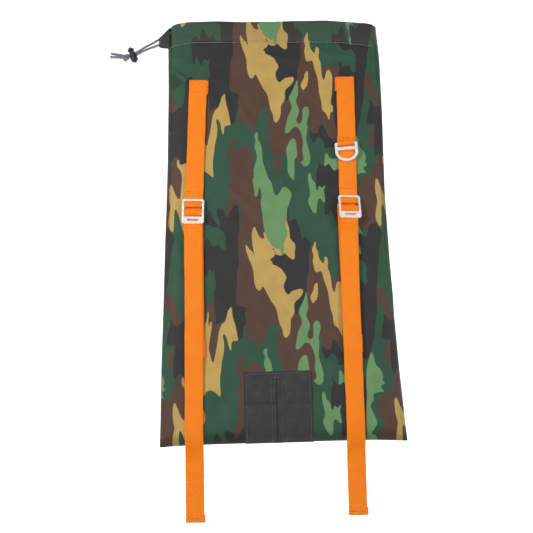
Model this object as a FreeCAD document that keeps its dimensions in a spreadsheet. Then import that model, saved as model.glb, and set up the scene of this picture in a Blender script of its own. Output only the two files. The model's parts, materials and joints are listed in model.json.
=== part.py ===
"""Drawstring carry sack of camouflage cloth, lying flat on its back.

Frame, in millimetres: X to the right, +Y towards the open mouth, +Z up out of the front face.
The origin is under the middle of the sack's box, on the surface that the sack lies on.
"""
import FreeCAD, Part
import os
from math import pi, radians, tan

import Sketcher

Vector = FreeCAD.Vector
Rotation = FreeCAD.Rotation
Placement = FreeCAD.Placement

# Driving dimensions. Every name becomes an alias in the sheet "sizes".
DIMENSIONS = {
    # the sack
    "mouth_y": 350, "base_y": -250, "waist_y": -10,
    "base_half": 166, "waist_half": 155.5, "mouth_half": 149,
    "cloth": 0.6, "sack_height": 14, "slope_run": 36, "wall_inset": 1.7, "top_inset": 0.15,
    "hem_width": 31, "hem_thick": 4.4, "hem_wall": 0.3, "past": 5,
    "spout_reach": 13.5, "spout_low": 1.0, "spout_height": 7.4, "spout_slant": 18, "spout_wall": 0.8,
    # the drawcord and its lock
    "cord_thick": 3, "cord_hole_half": 1.8,
    "knot_round": 5.6, "knot_end": 22.5, "knot_end_round": 1.7,
    "lock_round": 5, "lock_base": 12.3, "lock_top": 3.5, "bore_round": 3.4, "bore_base": 10.8,
    "shaft_round": 3.2, "shaft_base": 7, "press_gap": 2.7, "head_round": 4.7, "head_top": 11.2,
    "slot_low": 5.3, "slot_high": 2.5, "lock_rim": 1.6, "spring_wire": 0.4, "spring_round": 2.4,
    "spring_room": 0.15,
    # the patch on the bottom edge
    "patch_left": -51, "patch_right": 40, "patch_top": -153, "patch_thick": 0.8,
    "slit_x": -7.5, "slit_top": -164, "lip_width": 6.4, "lip_thick": 0.9, "slit_gap": 0.4,
    "seam_inset": 3, "thread": 0.5, "thread_rise": 0.3,
    # the webbing
    "web_width": 25, "web": 1.4, "gap": 0.3, "anchor_top": 21, "anchor_base": 22,
    "upper_run": 143, "lower_run": 160, "neck_run": 11,
    # the sliders
    "slider_width": 30.6, "slider_length": 35, "slider_thick": 2.4, "rail": 2.9, "top_bar": 3,
    "window": 22, "slider_corner": 3.5, "slider_edge": 0.5, "slot_width": 15, "slot_thick": 2.7,
    "slot_centre": -12.1, "bar_width": 3.5, "bar_low": -0.4, "bar_thick": 1.6,
    "loop_bar": 9.8, "grip_bar": -1.7, "roll_gap": 0.35,
    # the ring
    "ring_half": 16, "ring_top": 14.25, "ring_bar": 3.45, "ring_thick": 3, "ring_side": 4,
    "ring_slot": 3.2, "ring_cross": 4.7, "ring_shoulder": -2, "ring_arc": 17, "ring_arc_in": 13.4,
    "ring_edge": 0.8, "ring_corner": 2.4, "tab_hole": 2.1, "tab_half": 11.4, "tab_end": 23,
}

DOC = FreeCAD.newDocument("sack")
SHEET = DOC.addObject("Spreadsheet::Sheet", "sizes")
for row, (alias, amount) in enumerate(DIMENSIONS.items(), start=1):
    SHEET.set(f"A{row}", alias)
    SHEET.set(f"B{row}", str(amount))
    SHEET.setAlias(f"B{row}", alias)
DOC.recompute()

PIECES = {}


def bound(expression):
    """The expression with every sheet alias in it written as sizes.alias."""
    words = []
    for word in str(expression).replace("(", " ( ").replace(")", " ) ").split():
        bare = word.lstrip("-")
        sign = word[: len(word) - len(bare)]
        words.append(f"{sign}sizes.{bare}" if bare in DIMENSIONS else word)
    return " ".join(words)


def number(expression):
    return float(SHEET.evalExpression(bound(expression)))


def place(x=0.0, y=0.0, z=0.0, turn=0.0, roll=0.0, tilt=0.0):
    """A Placement: tilted about its own X, rolled about Y, turned about Z, then moved."""
    spin = (
        Rotation(Vector(0, 0, 1), turn)
        * Rotation(Vector(0, 1, 0), roll)
        * Rotation(Vector(1, 0, 0), tilt)
    )
    return Placement(Vector(x, y, z), spin)


def new_body(name, placement=None):
    body = DOC.addObject("PartDesign::Body", name)
    body.Label = name
    if placement is not None:
        body.Placement = placement
    PIECES[name] = body
    return body


def new_sketch(body, plane, offset="0"):
    """A sketch on the body's own XY, XZ or YZ plane, moved along that plane's normal."""
    sketch = body.newObject("Sketcher::SketchObject", f"{body.Name}_sketch")
    origin_plane = [f for f in body.Origin.OriginFeatures if f.Role == f"{plane}_Plane"][0]
    sketch.AttachmentSupport = [(origin_plane, "")]
    sketch.MapMode = "FlatFace"
    sketch.setExpression("AttachmentOffset.Base.z", bound(offset))
    return sketch


def bind(sketch, kind, first, point, value, expression):
    index = sketch.addConstraint(Sketcher.Constraint(kind, -1, 1, first, point, value))
    sketch.setExpression(f"Constraints[{index}]", bound(expression))


def outline(sketch, corners, arcs=()):
    """A closed outline through corners given as (x, y) expressions.

    arcs maps a side's number to the (x, y) that its arc passes through and its radius.
    """
    arcs = dict(arcs)
    points = [Vector(number(x), number(y), 0) for x, y in corners]
    first = sketch.GeometryCount
    for side, start in enumerate(points):
        end = points[(side + 1) % len(points)]
        if side in arcs:
            (mid_x, mid_y), _ = arcs[side]
            middle = Vector(number(mid_x), number(mid_y), 0)
            sketch.addGeometry(Part.Arc(start, middle, end))
        else:
            sketch.addGeometry(Part.LineSegment(start, end))
    ends = {}
    for side, start in enumerate(points):
        curve = sketch.Geometry[first + side]
        ahead = curve.StartPoint.distanceToPoint(start) < curve.EndPoint.distanceToPoint(start)
        ends[side] = (1, 2) if ahead else (2, 1)
    for side, (x, y) in enumerate(corners):
        following = (side + 1) % len(corners)
        sketch.addConstraint(Sketcher.Constraint(
            "Coincident", first + side, ends[side][1], first + following, ends[following][0]))
        bind(sketch, "DistanceX", first + side, ends[side][0], points[side].x, x)
        bind(sketch, "DistanceY", first + side, ends[side][0], points[side].y, y)
    for side, (_, radius) in arcs.items():
        index = sketch.addConstraint(Sketcher.Constraint("Radius", first + side, number(radius)))
        sketch.setExpression(f"Constraints[{index}]", bound(radius))


def rectangle(sketch, left, low, right, high):
    outline(sketch, [(left, low), (right, low), (right, high), (left, high)])


def circle(sketch, x, y, radius):
    index = sketch.addGeometry(Part.Circle(Vector(number(x), number(y), 0), Vector(0, 0, 1),
                                           number(radius)))
    bind(sketch, "DistanceX", index, 3, number(x), x)
    bind(sketch, "DistanceY", index, 3, number(y), y)
    mark = sketch.addConstraint(Sketcher.Constraint("Radius", index, number(radius)))
    sketch.setExpression(f"Constraints[{mark}]", bound(radius))


def extrude(body, kind, sketch, length, both=False, reverse=False):
    """A Pad or Pocket of the sketch, whose length is bound to the sheet."""
    feature = body.newObject(f"PartDesign::{kind}", f"{body.Name}_{kind}")
    feature.Profile = sketch
    feature.setExpression("Length", bound(length))
    if both:
        feature.SideType = "Symmetric"
    feature.Reversed = reverse
    DOC.recompute()
    return feature


def cut(body, sketch, length, both=False, reverse=False):
    """A Pocket that has to remove something."""
    before = body.Shape.Volume
    extrude(body, "Pocket", sketch, length, both, reverse)
    if not body.Shape.Volume < before:
        raise ValueError(f"the pocket in {body.Name} cuts nothing")


def soften(body, size, wanted):
    """A fillet on the edges of the body for which wanted(edge) is true."""
    tip = body.Tip
    names = [f"Edge{i + 1}" for i, edge in enumerate(tip.Shape.Edges) if wanted(edge)]
    fillet = body.newObject("PartDesign::Fillet", f"{body.Name}_Fillet")
    fillet.Base = (tip, names)
    fillet.setExpression("Radius", bound(size))
    DOC.recompute()


def upright(edge):
    low, high = edge.Vertexes[0].Point, edge.Vertexes[-1].Point
    return abs(low.x - high.x) < 1e-6 and abs(low.y - high.y) < 1e-6 and len(edge.Vertexes) == 2


def strip(name, placement, profile, width="web_width"):
    """Webbing or thread: a side profile of (y, z) corners, as wide as width across X."""
    body = new_body(name, placement)
    sketch = new_sketch(body, "YZ")
    outline(sketch, profile)
    extrude(body, "Pad", sketch, width, both=True)
    return body


def block(body, left, near, low, right, far, high):
    """A box padded up from z = low, merged with what the body already has."""
    sketch = new_sketch(body, "XY", low)
    rectangle(sketch, left, near, right, far)
    extrude(body, "Pad", sketch, f"{high} - ( {low} )")


# ---------------------------------------------------------------- the sack's cloth

def half_outline(inset, near, far):
    """The six corners of the sack's plan, drawn in by inset at the sides."""
    right = [
        (f"base_half - {inset}", near), (f"waist_half - {inset}", "waist_y"),
        (f"mouth_half - {inset}", far),
    ]
    return right + [(f"-( {x} )", y) for x, y in reversed(right)]


def loft(body, kind, sections):
    sketches = []
    for level, corners in sections:
        sketch = new_sketch(body, "XY", level)
        outline(sketch, corners)
        sketches.append(sketch)
    DOC.recompute()
    feature = body.newObject(f"PartDesign::{kind}", f"{body.Name}_{kind}")
    feature.Profile = sketches[0]
    feature.Sections = sketches[1:]
    feature.Ruled = True
    DOC.recompute()


def make_panels():
    back = new_body("back_panel")
    sketch = new_sketch(back, "XY")
    outline(sketch, half_outline("0", "base_y", "mouth_y - hem_width"))
    extrude(back, "Pad", sketch, "cloth")

    front = new_body("front_panel")
    end = "mouth_y - hem_width"
    loft(front, "AdditiveLoft", [
        ("cloth", half_outline("0", "base_y", end)),
        ("sack_height", half_outline("slope_run", "base_y + slope_run", end)),
    ])
    inner = "( slope_run + top_inset )"
    loft(front, "SubtractiveLoft", [
        ("cloth", half_outline("wall_inset", "base_y + wall_inset", f"{end} + past")),
        ("sack_height - cloth", half_outline(inner, f"base_y + {inner}", f"{end} + past")),
    ])


def arch(low, high, reach):
    """The front hem's section across the mouth: level in the middle, lower at both seams."""
    flat = "mouth_half - slope_run"
    drop = "( sack_height - 2 * hem_thick - gap )"
    top = [(f"-( {reach} )", f"{high} - {drop}"), (f"-( {flat} )", high),
           (flat, high), (reach, f"{high} - {drop}")]
    bottom = [(x, f"{low} - {drop}" if x in (reach, f"-( {reach} )") else low) for x, _ in top]
    return top + bottom[::-1]


def make_hems():
    ends = {"back_hem": "0", "front_hem": "sack_height - hem_thick"}
    for name, low in ends.items():
        hem = new_body(name)
        tube = new_sketch(hem, "XZ", "-mouth_y")
        channel = new_sketch(hem, "XZ", "-mouth_y + hem_wall")
        high = f"{low} + hem_thick"
        if name == "back_hem":
            rectangle(tube, "-mouth_half", low, "mouth_half", high)
            rectangle(channel, "-mouth_half - past", f"{low} + hem_wall",
                      "mouth_half + past", f"{high} - hem_wall")
        else:
            outline(tube, arch(low, high, "mouth_half"))
            outline(channel, arch(f"{low} + hem_wall", f"{high} - hem_wall", "mouth_half"))
        extrude(hem, "Pad", tube, "hem_width")
        cut(hem, channel, "hem_width - 2 * hem_wall", reverse=True)


def make_spout():
    """The short sleeve at the left end of the hem, where both cord ends come out."""
    spout = new_body("hem_spout")
    row = "mouth_y - hem_width"
    plan = new_sketch(spout, "XY", "spout_low")
    outline(plan, [
        ("-mouth_half", f"{row} - 3"), ("-mouth_half", "mouth_y - 5"),
        ("-mouth_half - spout_reach", "mouth_y - spout_slant"),
        ("-mouth_half - spout_reach + 2", f"{row} - 2"),
    ])
    extrude(spout, "Pad", plan, "spout_height")
    channel = new_sketch(spout, "YZ", "-mouth_half - spout_reach - past")
    rectangle(channel, f"{row} - spout_wall", "spout_low + spout_wall",
              "mouth_y - spout_slant - 2 * spout_wall", "spout_low + spout_height - spout_wall")
    cut(spout, channel, "spout_reach + 2 * past", reverse=True)


def make_patch():
    thick = "sack_height + patch_thick"
    slope = "base_y + slope_run"
    patch = new_body("slit_patch")
    side = new_sketch(patch, "YZ", "patch_left")
    outline(side, [
        ("patch_top", "sack_height"), ("patch_top", thick), (slope, thick),
        ("base_y", "cloth + patch_thick"), ("base_y", "cloth"), (slope, "sack_height"),
    ])
    extrude(patch, "Pad", side, "patch_right - patch_left")
    for name, sign in (("slit_lip_left", "-1"), ("slit_lip_right", "1")):
        lip = new_body(name)
        side = new_sketch(lip, "YZ", f"slit_x + {sign} * ( slit_gap + lip_width ) / 2")
        outline(side, [
            ("slit_top", thick), ("slit_top", f"{thick} + lip_thick"),
            (slope, f"{thick} + lip_thick"), ("base_y", "cloth + patch_thick + lip_thick"),
            ("base_y", "cloth + patch_thick"), (slope, thick),
        ])
        extrude(lip, "Pad", side, "lip_width", both=True)


def make_sack_stitching():
    hem = new_body("hem_stitching")
    row = "mouth_y - hem_width"
    block(hem, "-( mouth_half - slope_run )", f"{row} - thread", "sack_height",
          "mouth_half - slope_run", f"{row} + thread", "sack_height + thread_rise")

    rows = new_body("patch_stitching")
    level = "sack_height + patch_thick"
    left, right, top = "patch_left + seam_inset", "patch_right - seam_inset", "patch_top - seam_inset"
    end = "base_y + slope_run"
    for low, high in ((left, f"{left} + thread"), (f"{right} - thread", right)):
        block(rows, low, end, level, high, top, f"{level} + thread_rise")
    block(rows, left, f"{top} - thread", level, right, top, f"{level} + thread_rise")


# ---------------------------------------------------------------- the drawcord

def rounded_path(name, points):
    """Straight runs joined by tangent arcs, each arc as large as its two runs allow."""
    points = [Vector(*p) for p in points]
    edges, start, radii = [], points[0], []
    for before, corner, after in zip(points, points[1:], points[2:]):
        back, ahead = before - corner, after - corner
        turn = radians(180) - back.getAngle(ahead)
        reach = 0.45 * min(back.Length, ahead.Length)
        radius = reach / tan(turn / 2)
        radii.append(round(radius, 1))
        back.normalize()
        ahead.normalize()
        entry, leave = corner + back * reach, corner + ahead * reach
        bisector = (back + ahead).normalize()
        centre = corner + bisector * (radius**2 + reach**2) ** 0.5
        middle = centre - bisector * radius
        edges.append(Part.LineSegment(start, entry).toShape())
        edges.append(Part.Arc(entry, middle, leave).toShape())
        start = leave
    edges.append(Part.LineSegment(start, points[-1]).toShape())
    wire = Part.Wire(edges)
    print(name, "length", round(wire.Length, 1), "radii", radii)
    return wire


def cord_tube(name, points):
    wire = rounded_path(name, points)
    radius = number("cord_thick / 2")
    start = wire.Edges[0]
    ring = Part.Circle(start.Vertexes[0].Point, start.tangentAt(start.FirstParameter), radius)
    profile = Part.Wire([ring.toShape()])
    tube = DOC.addObject("Part::Feature", name)
    tube.Label = name
    tube.Shape = wire.makePipeShell([profile], True, False)
    section = pi * radius**2
    if abs(tube.Shape.Volume / (section * wire.Length) - 1) > 0.01:
        raise ValueError(f"the tube {name} has the wrong volume")
    PIECES[name] = tube
    return tube


LOCK_PLACE = place(-200.0, 306.9, 5.3, turn=20.6)
SPRING_TURNS = 2.5
KNOT_AT = (-210.0, 302.7, 5.7)
KNOT_END_TURNS = (176, 156)
UPPER_END = [(-162.6, 328.4, 4.9), (-171.6, 322.9, 5.2), (-183.4, 317.2, 5.3),
             (-194.2, 309.9, 5.3), (-204.9, 305.2, 5.3)]
LOWER_END = [(-160.8, 321.2, 4.7), (-170.4, 317.3, 5.1), (-182.2, 313.2, 5.3),
             (-193.0, 306.9, 5.3), (-203.7, 302.2, 5.3)]


def make_drawcord():
    """One cord through both hems, held all the way, with its two ends out of the spout."""
    front_y, back_y = 341.0, 329.0
    cord_tube("drawcord_in_hem", [
        UPPER_END[0], (-150.5, 335.0, 6.6), (-133.0, front_y, 9.4), (-100.0, 341.4, 11.8),
        (0.0, 340.6, 11.9), (100.0, 341.2, 11.8), (128.0, front_y, 9.5), (143.0, front_y, 7.2),
        (143.0, back_y, 2.3), (120.0, back_y, 2.2), (0.0, 329.6, 2.3), (-120.0, back_y, 2.2),
        (-146.0, 327.0, 2.6), LOWER_END[0],
    ])
    cord_tube("drawcord_end_upper", UPPER_END)
    cord_tube("drawcord_end_lower", LOWER_END)

    knot = DOC.addObject("Part::Feature", "drawcord_knot")
    knot.Label = "drawcord_knot"
    lump = Part.makeSphere(number("knot_round"))
    ends = []
    for turn in KNOT_END_TURNS:
        end = Part.makeCylinder(number("knot_end_round"), number("knot_end"), Vector(), Vector(1, 0, 0))
        end.rotate(Vector(), Vector(0, 0, 1), turn)
        ends.append(end)
    knot.Shape = lump.fuse(ends).removeSplitter()
    knot.Placement = place(*KNOT_AT)
    PIECES["drawcord_knot"] = knot


def make_cord_lock():
    """Spring lock across both cords: its axis is local Y, and the cords run along local X."""
    body = new_body("cord_lock_body", LOCK_PLACE)
    half = new_sketch(body, "XY")
    outline(half, [
        ("0", "-lock_base"), ("lock_round - 2 * lock_rim", "-lock_base"),
        ("lock_round", "-lock_base + 2 * lock_rim"), ("lock_round", "lock_top - lock_rim"),
        ("lock_round - lock_rim / 2", "lock_top"), ("0", "lock_top"),
    ])
    spin = body.newObject("PartDesign::Revolution", "cord_lock_body_spin")
    spin.Profile = half
    spin.ReferenceAxis = (half, ["V_Axis"])
    spin.Angle = 360
    DOC.recompute()
    bore = new_sketch(body, "XZ", "-lock_top")
    circle(bore, "0", "0", "bore_round")
    cut(body, bore, "lock_top + bore_base", reverse=True)
    hole = new_sketch(body, "YZ")
    rectangle(hole, "-slot_low", "-cord_hole_half", "slot_high", "cord_hole_half")
    cut(body, hole, "3 * lock_round", both=True)

    plunger = new_body("cord_lock_plunger", LOCK_PLACE)
    half = new_sketch(plunger, "XY")
    outline(half, [
        ("0", "-shaft_base"), ("shaft_round", "-shaft_base"),
        ("shaft_round", "lock_top + press_gap"), ("head_round", "lock_top + press_gap"),
        ("head_round", "head_top - 2 * lock_rim"), ("head_round - 1.5 * lock_rim", "head_top"),
        ("0", "head_top"),
    ])
    spin = plunger.newObject("PartDesign::Revolution", "cord_lock_plunger_spin")
    spin.Profile = half
    spin.ReferenceAxis = (half, ["V_Axis"])
    spin.Angle = 360
    DOC.recompute()
    hole = new_sketch(plunger, "YZ")
    rectangle(hole, "-slot_low", "-cord_hole_half", "slot_high + press_gap", "cord_hole_half")
    cut(plunger, hole, "3 * lock_round", both=True)

    spring = DOC.addObject("Part::Feature", "cord_lock_spring")
    spring.Label = "cord_lock_spring"
    wire_round, coil_round = number("spring_wire / 2"), number("spring_round")
    end_room = wire_round + number("spring_room")
    height = number("bore_base - shaft_base") - 2 * end_room
    helix = Part.makeHelix(height / SPRING_TURNS, height, coil_round)
    section = Part.Circle(Vector(coil_round, 0, 0), Vector(0, 1, 0), wire_round)
    spring.Shape = Part.Wire(helix.Edges).makePipeShell([Part.Wire([section.toShape()])], True, True)
    spring.Placement = LOCK_PLACE * place(y=end_room - number("bore_base"), tilt=-90)
    PIECES["cord_lock_spring"] = spring


# ---------------------------------------------------------------- straps, sliders and ring

# Each strap: where its parts lie in the plan, and how each one is turned about Z.
STRAPS = {
    "left": {
        "anchor": (-107.0, 241.0, -2.8), "slider": (-116.1, 71.0, -2.0), "lift": 0.0,
        "roll": 0.0, "tilt": 0.0, "tail": (-116.5, 50.0, -0.6), "drop_y": -213.0,
        "end_y": -350.0, "base_anchor": (-116.2, -108.0, -0.4),
    },
    "right": {
        "anchor": (102.0, 240.0, -0.8), "slider": (100.6, 70.4, -1.0), "lift": 4.4,
        "roll": 8.0, "tilt": -16.0, "tail": (98.9, 50.0, -0.4), "drop_y": -213.0,
        "end_y": -346.0, "base_anchor": (97.8, -107.0, 0.4),
    },
}


def make_upper_strap(side, plan):
    x, y, turn = plan["anchor"]
    at = place(x, y, 0, turn)
    strip(f"{side}_top_anchor", at, [
        ("0", "sack_height"), ("anchor_top", "sack_height"),
        ("anchor_top", "sack_height + 2 * web"), ("0", "sack_height + 2 * web"),
    ])
    low = "sack_height + gap"
    strip(f"{side}_strap_upper", at, [
        ("-4 * gap - upper_run", low), ("-4 * gap", low), ("-4 * gap", f"{low} + web"),
        ("-4 * gap - upper_run", f"{low} + web"),
    ])


def make_slider(side, plan):
    x, y, turn = plan["slider"]
    height = number("sack_height + 2 * gap + 2 * web") + plan["lift"]
    at = place(x, y, height, turn, plan["roll"], plan["tilt"])
    slider = new_body(f"{side}_slider", at)
    plate = new_sketch(slider, "XY")
    rectangle(plate, "-slider_width / 2", "-slider_length / 2", "slider_width / 2",
              "slider_length / 2")
    extrude(slider, "Pad", plate, "slider_thick")
    soften(slider, "slider_corner", upright)
    window = new_sketch(slider, "XY")
    top = "slider_length / 2 - top_bar"
    rectangle(window, "-slider_width / 2 + rail", f"{top} - window", "slider_width / 2 - rail", top)
    cut(slider, window, "slider_thick", reverse=True)
    slot = new_sketch(slider, "XY")
    rectangle(slot, "-slot_width / 2", "slot_centre - slot_thick / 2", "slot_width / 2",
              "slot_centre + slot_thick / 2")
    cut(slider, slot, "slider_thick", reverse=True)
    soften(slider, "slider_edge", lambda edge: edge.BoundBox.ZLength < 1e-6)
    for bar in ("loop_bar", "grip_bar"):
        block(slider, "-slider_width / 2 + rail / 2", f"{bar} - bar_width / 2", "bar_low",
              "slider_width / 2 - rail / 2", f"{bar} + bar_width / 2", "bar_low + bar_thick")

    inner = "( bar_width / 2 + roll_gap )"
    outer = "( bar_width / 2 + roll_gap + web )"
    low, high = "bar_low - roll_gap", "bar_low + bar_thick + roll_gap"
    loop = strip(f"{side}_slider_loop", at, [
        (f"loop_bar - {outer}", f"{low} - web"), (f"loop_bar + {outer}", f"{low} - web"),
        (f"loop_bar + {outer}", f"{high} + web / 2"), (f"loop_bar + {inner}", f"{high} + web"),
        (f"loop_bar - {inner}", f"{high} + web"), (f"loop_bar - {outer}", f"{high} + web / 2"),
    ], "web_width - 1")
    hole = new_sketch(loop, "YZ")
    rectangle(hole, f"loop_bar - {inner}", low, f"loop_bar + {inner}", high)
    cut(loop, hole, "2 * web_width", both=True)
    foot = "-gap"
    strip(f"{side}_slider_wrap", at, [
        (f"grip_bar + {outer}", "bar_low - web"), (f"grip_bar + {outer}", f"{high} + web / 2"),
        (f"grip_bar + {inner}", f"{high} + web"), (f"grip_bar - {inner}", f"{high} + web"),
        (f"grip_bar - {outer}", f"{high} + web / 2"), (f"grip_bar - {outer}", foot),
        ("-slider_length / 2", foot), ("-slider_length / 2", f"{foot} - web"),
        (f"grip_bar - {inner}", f"{foot} - web"), (f"grip_bar - {inner}", high),
        (f"grip_bar + {inner}", high), (f"grip_bar + {inner}", "bar_low - web"),
    ], "web_width - 1")


def make_lower_strap(side, plan):
    x, y, turn = plan["base_anchor"]
    at = place(x, y, 0, turn)
    strip(f"{side}_bottom_anchor", at, [
        ("-anchor_base", "sack_height"), ("0", "sack_height"), ("0", "sack_height + 2 * web"),
        ("-anchor_base", "sack_height + 2 * web"),
    ])
    strip(f"{side}_strap_lower", at, [
        ("0", "sack_height"), ("lower_run", "sack_height"), ("lower_run", "sack_height + web"),
        ("0", "sack_height + web"),
    ])


def make_tail(side, plan):
    """The free end: level over the lower branch, then down the sack's edge to the surface."""
    x, y, turn = plan["tail"]
    level = "sack_height + 2 * web + gap"
    at = place(x, y, 0, turn)
    strip(f"{side}_tail_neck", at, [
        ("-neck_run", level), ("0", level), ("0", f"{level} + web"), ("-neck_run", f"{level} + web"),
    ])
    start = "-neck_run - 3 * gap"
    edge, floor_y, end = f"{plan['drop_y'] - y}", f"base_y - 10 - {y}", f"{plan['end_y'] - y}"
    over = "sack_height + gap"
    anchor_end = f"{plan['base_anchor'][1] - y} - anchor_base"
    strip(f"{side}_strap_tail", at, [
        (start, level), (start, f"{level} + web"), (f"{anchor_end} - 6", f"{level} + web"),
        (f"{anchor_end} - 24", f"{over} + web"), (edge, f"{over} + web"),
        (f"{floor_y} - 3", "gap / 2 + web"), (end, "gap / 2 + web"), (end, "gap / 2"),
        (floor_y, "gap / 2"), (f"{edge} - 1", over), (f"{anchor_end} - 24", over),
        (f"{anchor_end} - 4", level),
    ])


def make_strap_stitching(side, plan):
    """Rows of thread across the webbing, one node for each body that they move with."""
    x, y, turn = plan["anchor"]
    top = "sack_height + 2 * web"
    fixed = new_body(f"{side}_anchor_stitching", place(x, y, 0, turn))
    for row in ("3", "anchor_top - 3"):
        block(fixed, "-web_width / 2 + 2", f"{row} - thread", top, "web_width / 2 - 2",
              f"{row} + thread", f"{top} + thread_rise")
    moving = new_body(f"{side}_strap_stitching", place(x, y, 0, turn))
    level = "sack_height + gap + web"
    block(moving, "-web_width / 2 + 2", "-upper_run + 1", level, "web_width / 2 - 2",
          "-upper_run + 1 + 2 * thread", f"{level} + thread_rise")


def make_ring():
    """Flat D ring with a crossbar, held by a webbing tab round its straight top bar."""
    height = number("sack_height + gap + web + tab_hole + web - ring_thick / 2")
    at = place(100.0, 149.8, height, 3.0)
    ring = new_body("d_ring", at)
    plate = new_sketch(ring, "XY")
    outline(plate, [
        ("-ring_half", "ring_top"), ("-ring_half", "ring_shoulder"), ("ring_half", "ring_shoulder"),
        ("ring_half", "ring_top"),
    ], {1: (("0", "-ring_top"), "ring_arc")})
    extrude(ring, "Pad", plate, "ring_thick")
    soften(ring, "ring_corner", lambda edge: upright(edge) and edge.Vertexes[0].Y > 0)
    slot_top = "ring_top - ring_bar"
    cross_top = f"{slot_top} - ring_slot"
    slot = new_sketch(ring, "XY")
    rectangle(slot, "-ring_half + ring_side", cross_top, "ring_half - ring_side", slot_top)
    cut(ring, slot, "ring_thick", reverse=True)
    opening = new_sketch(ring, "XY")
    outline(opening, [
        ("-ring_half + ring_side", f"{cross_top} - ring_cross"),
        ("-ring_half + ring_side", "ring_shoulder"), ("ring_half - ring_side", "ring_shoulder"),
        ("ring_half - ring_side", f"{cross_top} - ring_cross"),
    ], {1: (("0", "-ring_top + ring_side"), "ring_arc_in")})
    cut(ring, opening, "ring_thick", reverse=True)
    soften(ring, "ring_corner / 2", upright)
    soften(ring, "ring_edge", lambda edge: edge.BoundBox.ZLength < 1e-6)

    centre = "ring_top - ring_bar / 2"
    middle = "ring_thick / 2"
    outer = "( tab_hole + web )"
    tab = strip("d_ring_tab", at, [
        (f"{centre} - {outer} * 0.5", f"{middle} - {outer}"), ("tab_end", f"{middle} - {outer}"),
        ("tab_end", f"{middle} - {outer} + 2 * web"), (f"{centre} + {outer}", f"{middle} + {outer} * 0.4"),
        (f"{centre} + {outer} * 0.5", f"{middle} + {outer}"),
        (f"{centre} - {outer} * 0.5", f"{middle} + {outer}"),
        (f"{centre} - {outer}", f"{middle} + {outer} * 0.5"),
        (f"{centre} - {outer}", f"{middle} - {outer} * 0.5"),
    ], "2 * tab_half")
    hole = new_sketch(tab, "YZ")
    circle(hole, centre, middle, "tab_hole")
    cut(tab, hole, "2 * web_width", both=True)


def check_and_write():
    DOC.recompute()
    for thing in DOC.Objects:
        if {"Invalid", "Error"} & set(thing.State):
            raise ValueError(f"{thing.Name} failed: {thing.State}")
    os.makedirs("parts", exist_ok=True)
    for name, piece in PIECES.items():
        shape = piece.Shape
        if shape.isNull() or not shape.isValid() or shape.Volume <= 0:
            raise ValueError(f"{name} has no valid solid")
        shape.exportStep(f"parts/{name}.step")


make_panels()
make_hems()
make_spout()
make_patch()
make_sack_stitching()
make_drawcord()
make_cord_lock()
for side, plan in STRAPS.items():
    make_upper_strap(side, plan)
    make_slider(side, plan)
    make_lower_strap(side, plan)
    make_tail(side, plan)
    make_strap_stitching(side, plan)
make_ring()
check_and_write()
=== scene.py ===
"""Looks of a drawstring sack of camouflage cloth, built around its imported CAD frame.

Lengths in the tables and helpers are millimetres in the frame's own axes: X to the right, +Y to the
mouth, +Z up out of the front face. Meshes are turned into metres as they are made.
"""

import json
import math

import bmesh
import bpy
import numpy as np
from mathutils import Matrix, Vector


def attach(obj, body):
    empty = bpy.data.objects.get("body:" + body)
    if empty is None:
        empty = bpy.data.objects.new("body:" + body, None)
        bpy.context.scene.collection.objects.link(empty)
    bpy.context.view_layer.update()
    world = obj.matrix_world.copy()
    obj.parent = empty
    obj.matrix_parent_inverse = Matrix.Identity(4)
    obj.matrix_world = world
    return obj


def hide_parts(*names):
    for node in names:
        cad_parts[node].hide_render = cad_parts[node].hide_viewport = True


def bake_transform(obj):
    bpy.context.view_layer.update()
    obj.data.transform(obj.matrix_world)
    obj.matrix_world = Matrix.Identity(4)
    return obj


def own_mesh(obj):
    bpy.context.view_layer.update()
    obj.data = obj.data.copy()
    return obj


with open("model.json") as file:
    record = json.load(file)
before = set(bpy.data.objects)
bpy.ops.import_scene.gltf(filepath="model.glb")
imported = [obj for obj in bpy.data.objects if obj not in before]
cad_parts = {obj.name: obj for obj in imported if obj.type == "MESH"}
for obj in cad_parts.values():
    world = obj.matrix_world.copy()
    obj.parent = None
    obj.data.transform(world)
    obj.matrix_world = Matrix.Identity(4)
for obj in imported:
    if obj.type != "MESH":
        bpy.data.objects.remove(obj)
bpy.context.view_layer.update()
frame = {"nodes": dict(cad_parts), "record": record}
MM = 0.001

# ---------------------------------------------------------------- camera, floor and light


def make_camera():
    """The view straight down, tilted a little towards the sack's base and rolled a little."""
    distance, tilt, roll = 1.5, math.radians(10), math.radians(1.6)
    target = Vector((-0.0165, -0.006, 0.0))
    back = Vector((0, -math.sin(tilt), math.cos(tilt)))
    up = Vector((0, math.cos(tilt), math.sin(tilt)))
    across = Vector((1, 0, 0))
    right = across * math.cos(roll) - up * math.sin(roll)
    above = across * math.sin(roll) + up * math.cos(roll)
    data = bpy.data.cameras.new("camera")
    data.lens, data.sensor_width = 72.94, 36
    camera = bpy.data.objects.new("camera", data)
    place = target + back * distance
    camera.matrix_world = Matrix((
        (right.x, above.x, back.x, place.x), (right.y, above.y, back.y, place.y),
        (right.z, above.z, back.z, place.z), (0, 0, 0, 1),
    ))
    bpy.context.scene.collection.objects.link(camera)
    bpy.context.scene.camera = camera


def add_light(name, place, target, size, power):
    data = bpy.data.lights.new(name, "AREA")
    data.shape, data.size, data.energy = "DISK", size, power
    light = bpy.data.objects.new(name, data)
    light.location = place
    light.rotation_mode = "QUATERNION"
    light.rotation_quaternion = (Vector(target) - Vector(place)).to_track_quat("-Z", "Y")
    bpy.context.scene.collection.objects.link(light)


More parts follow.
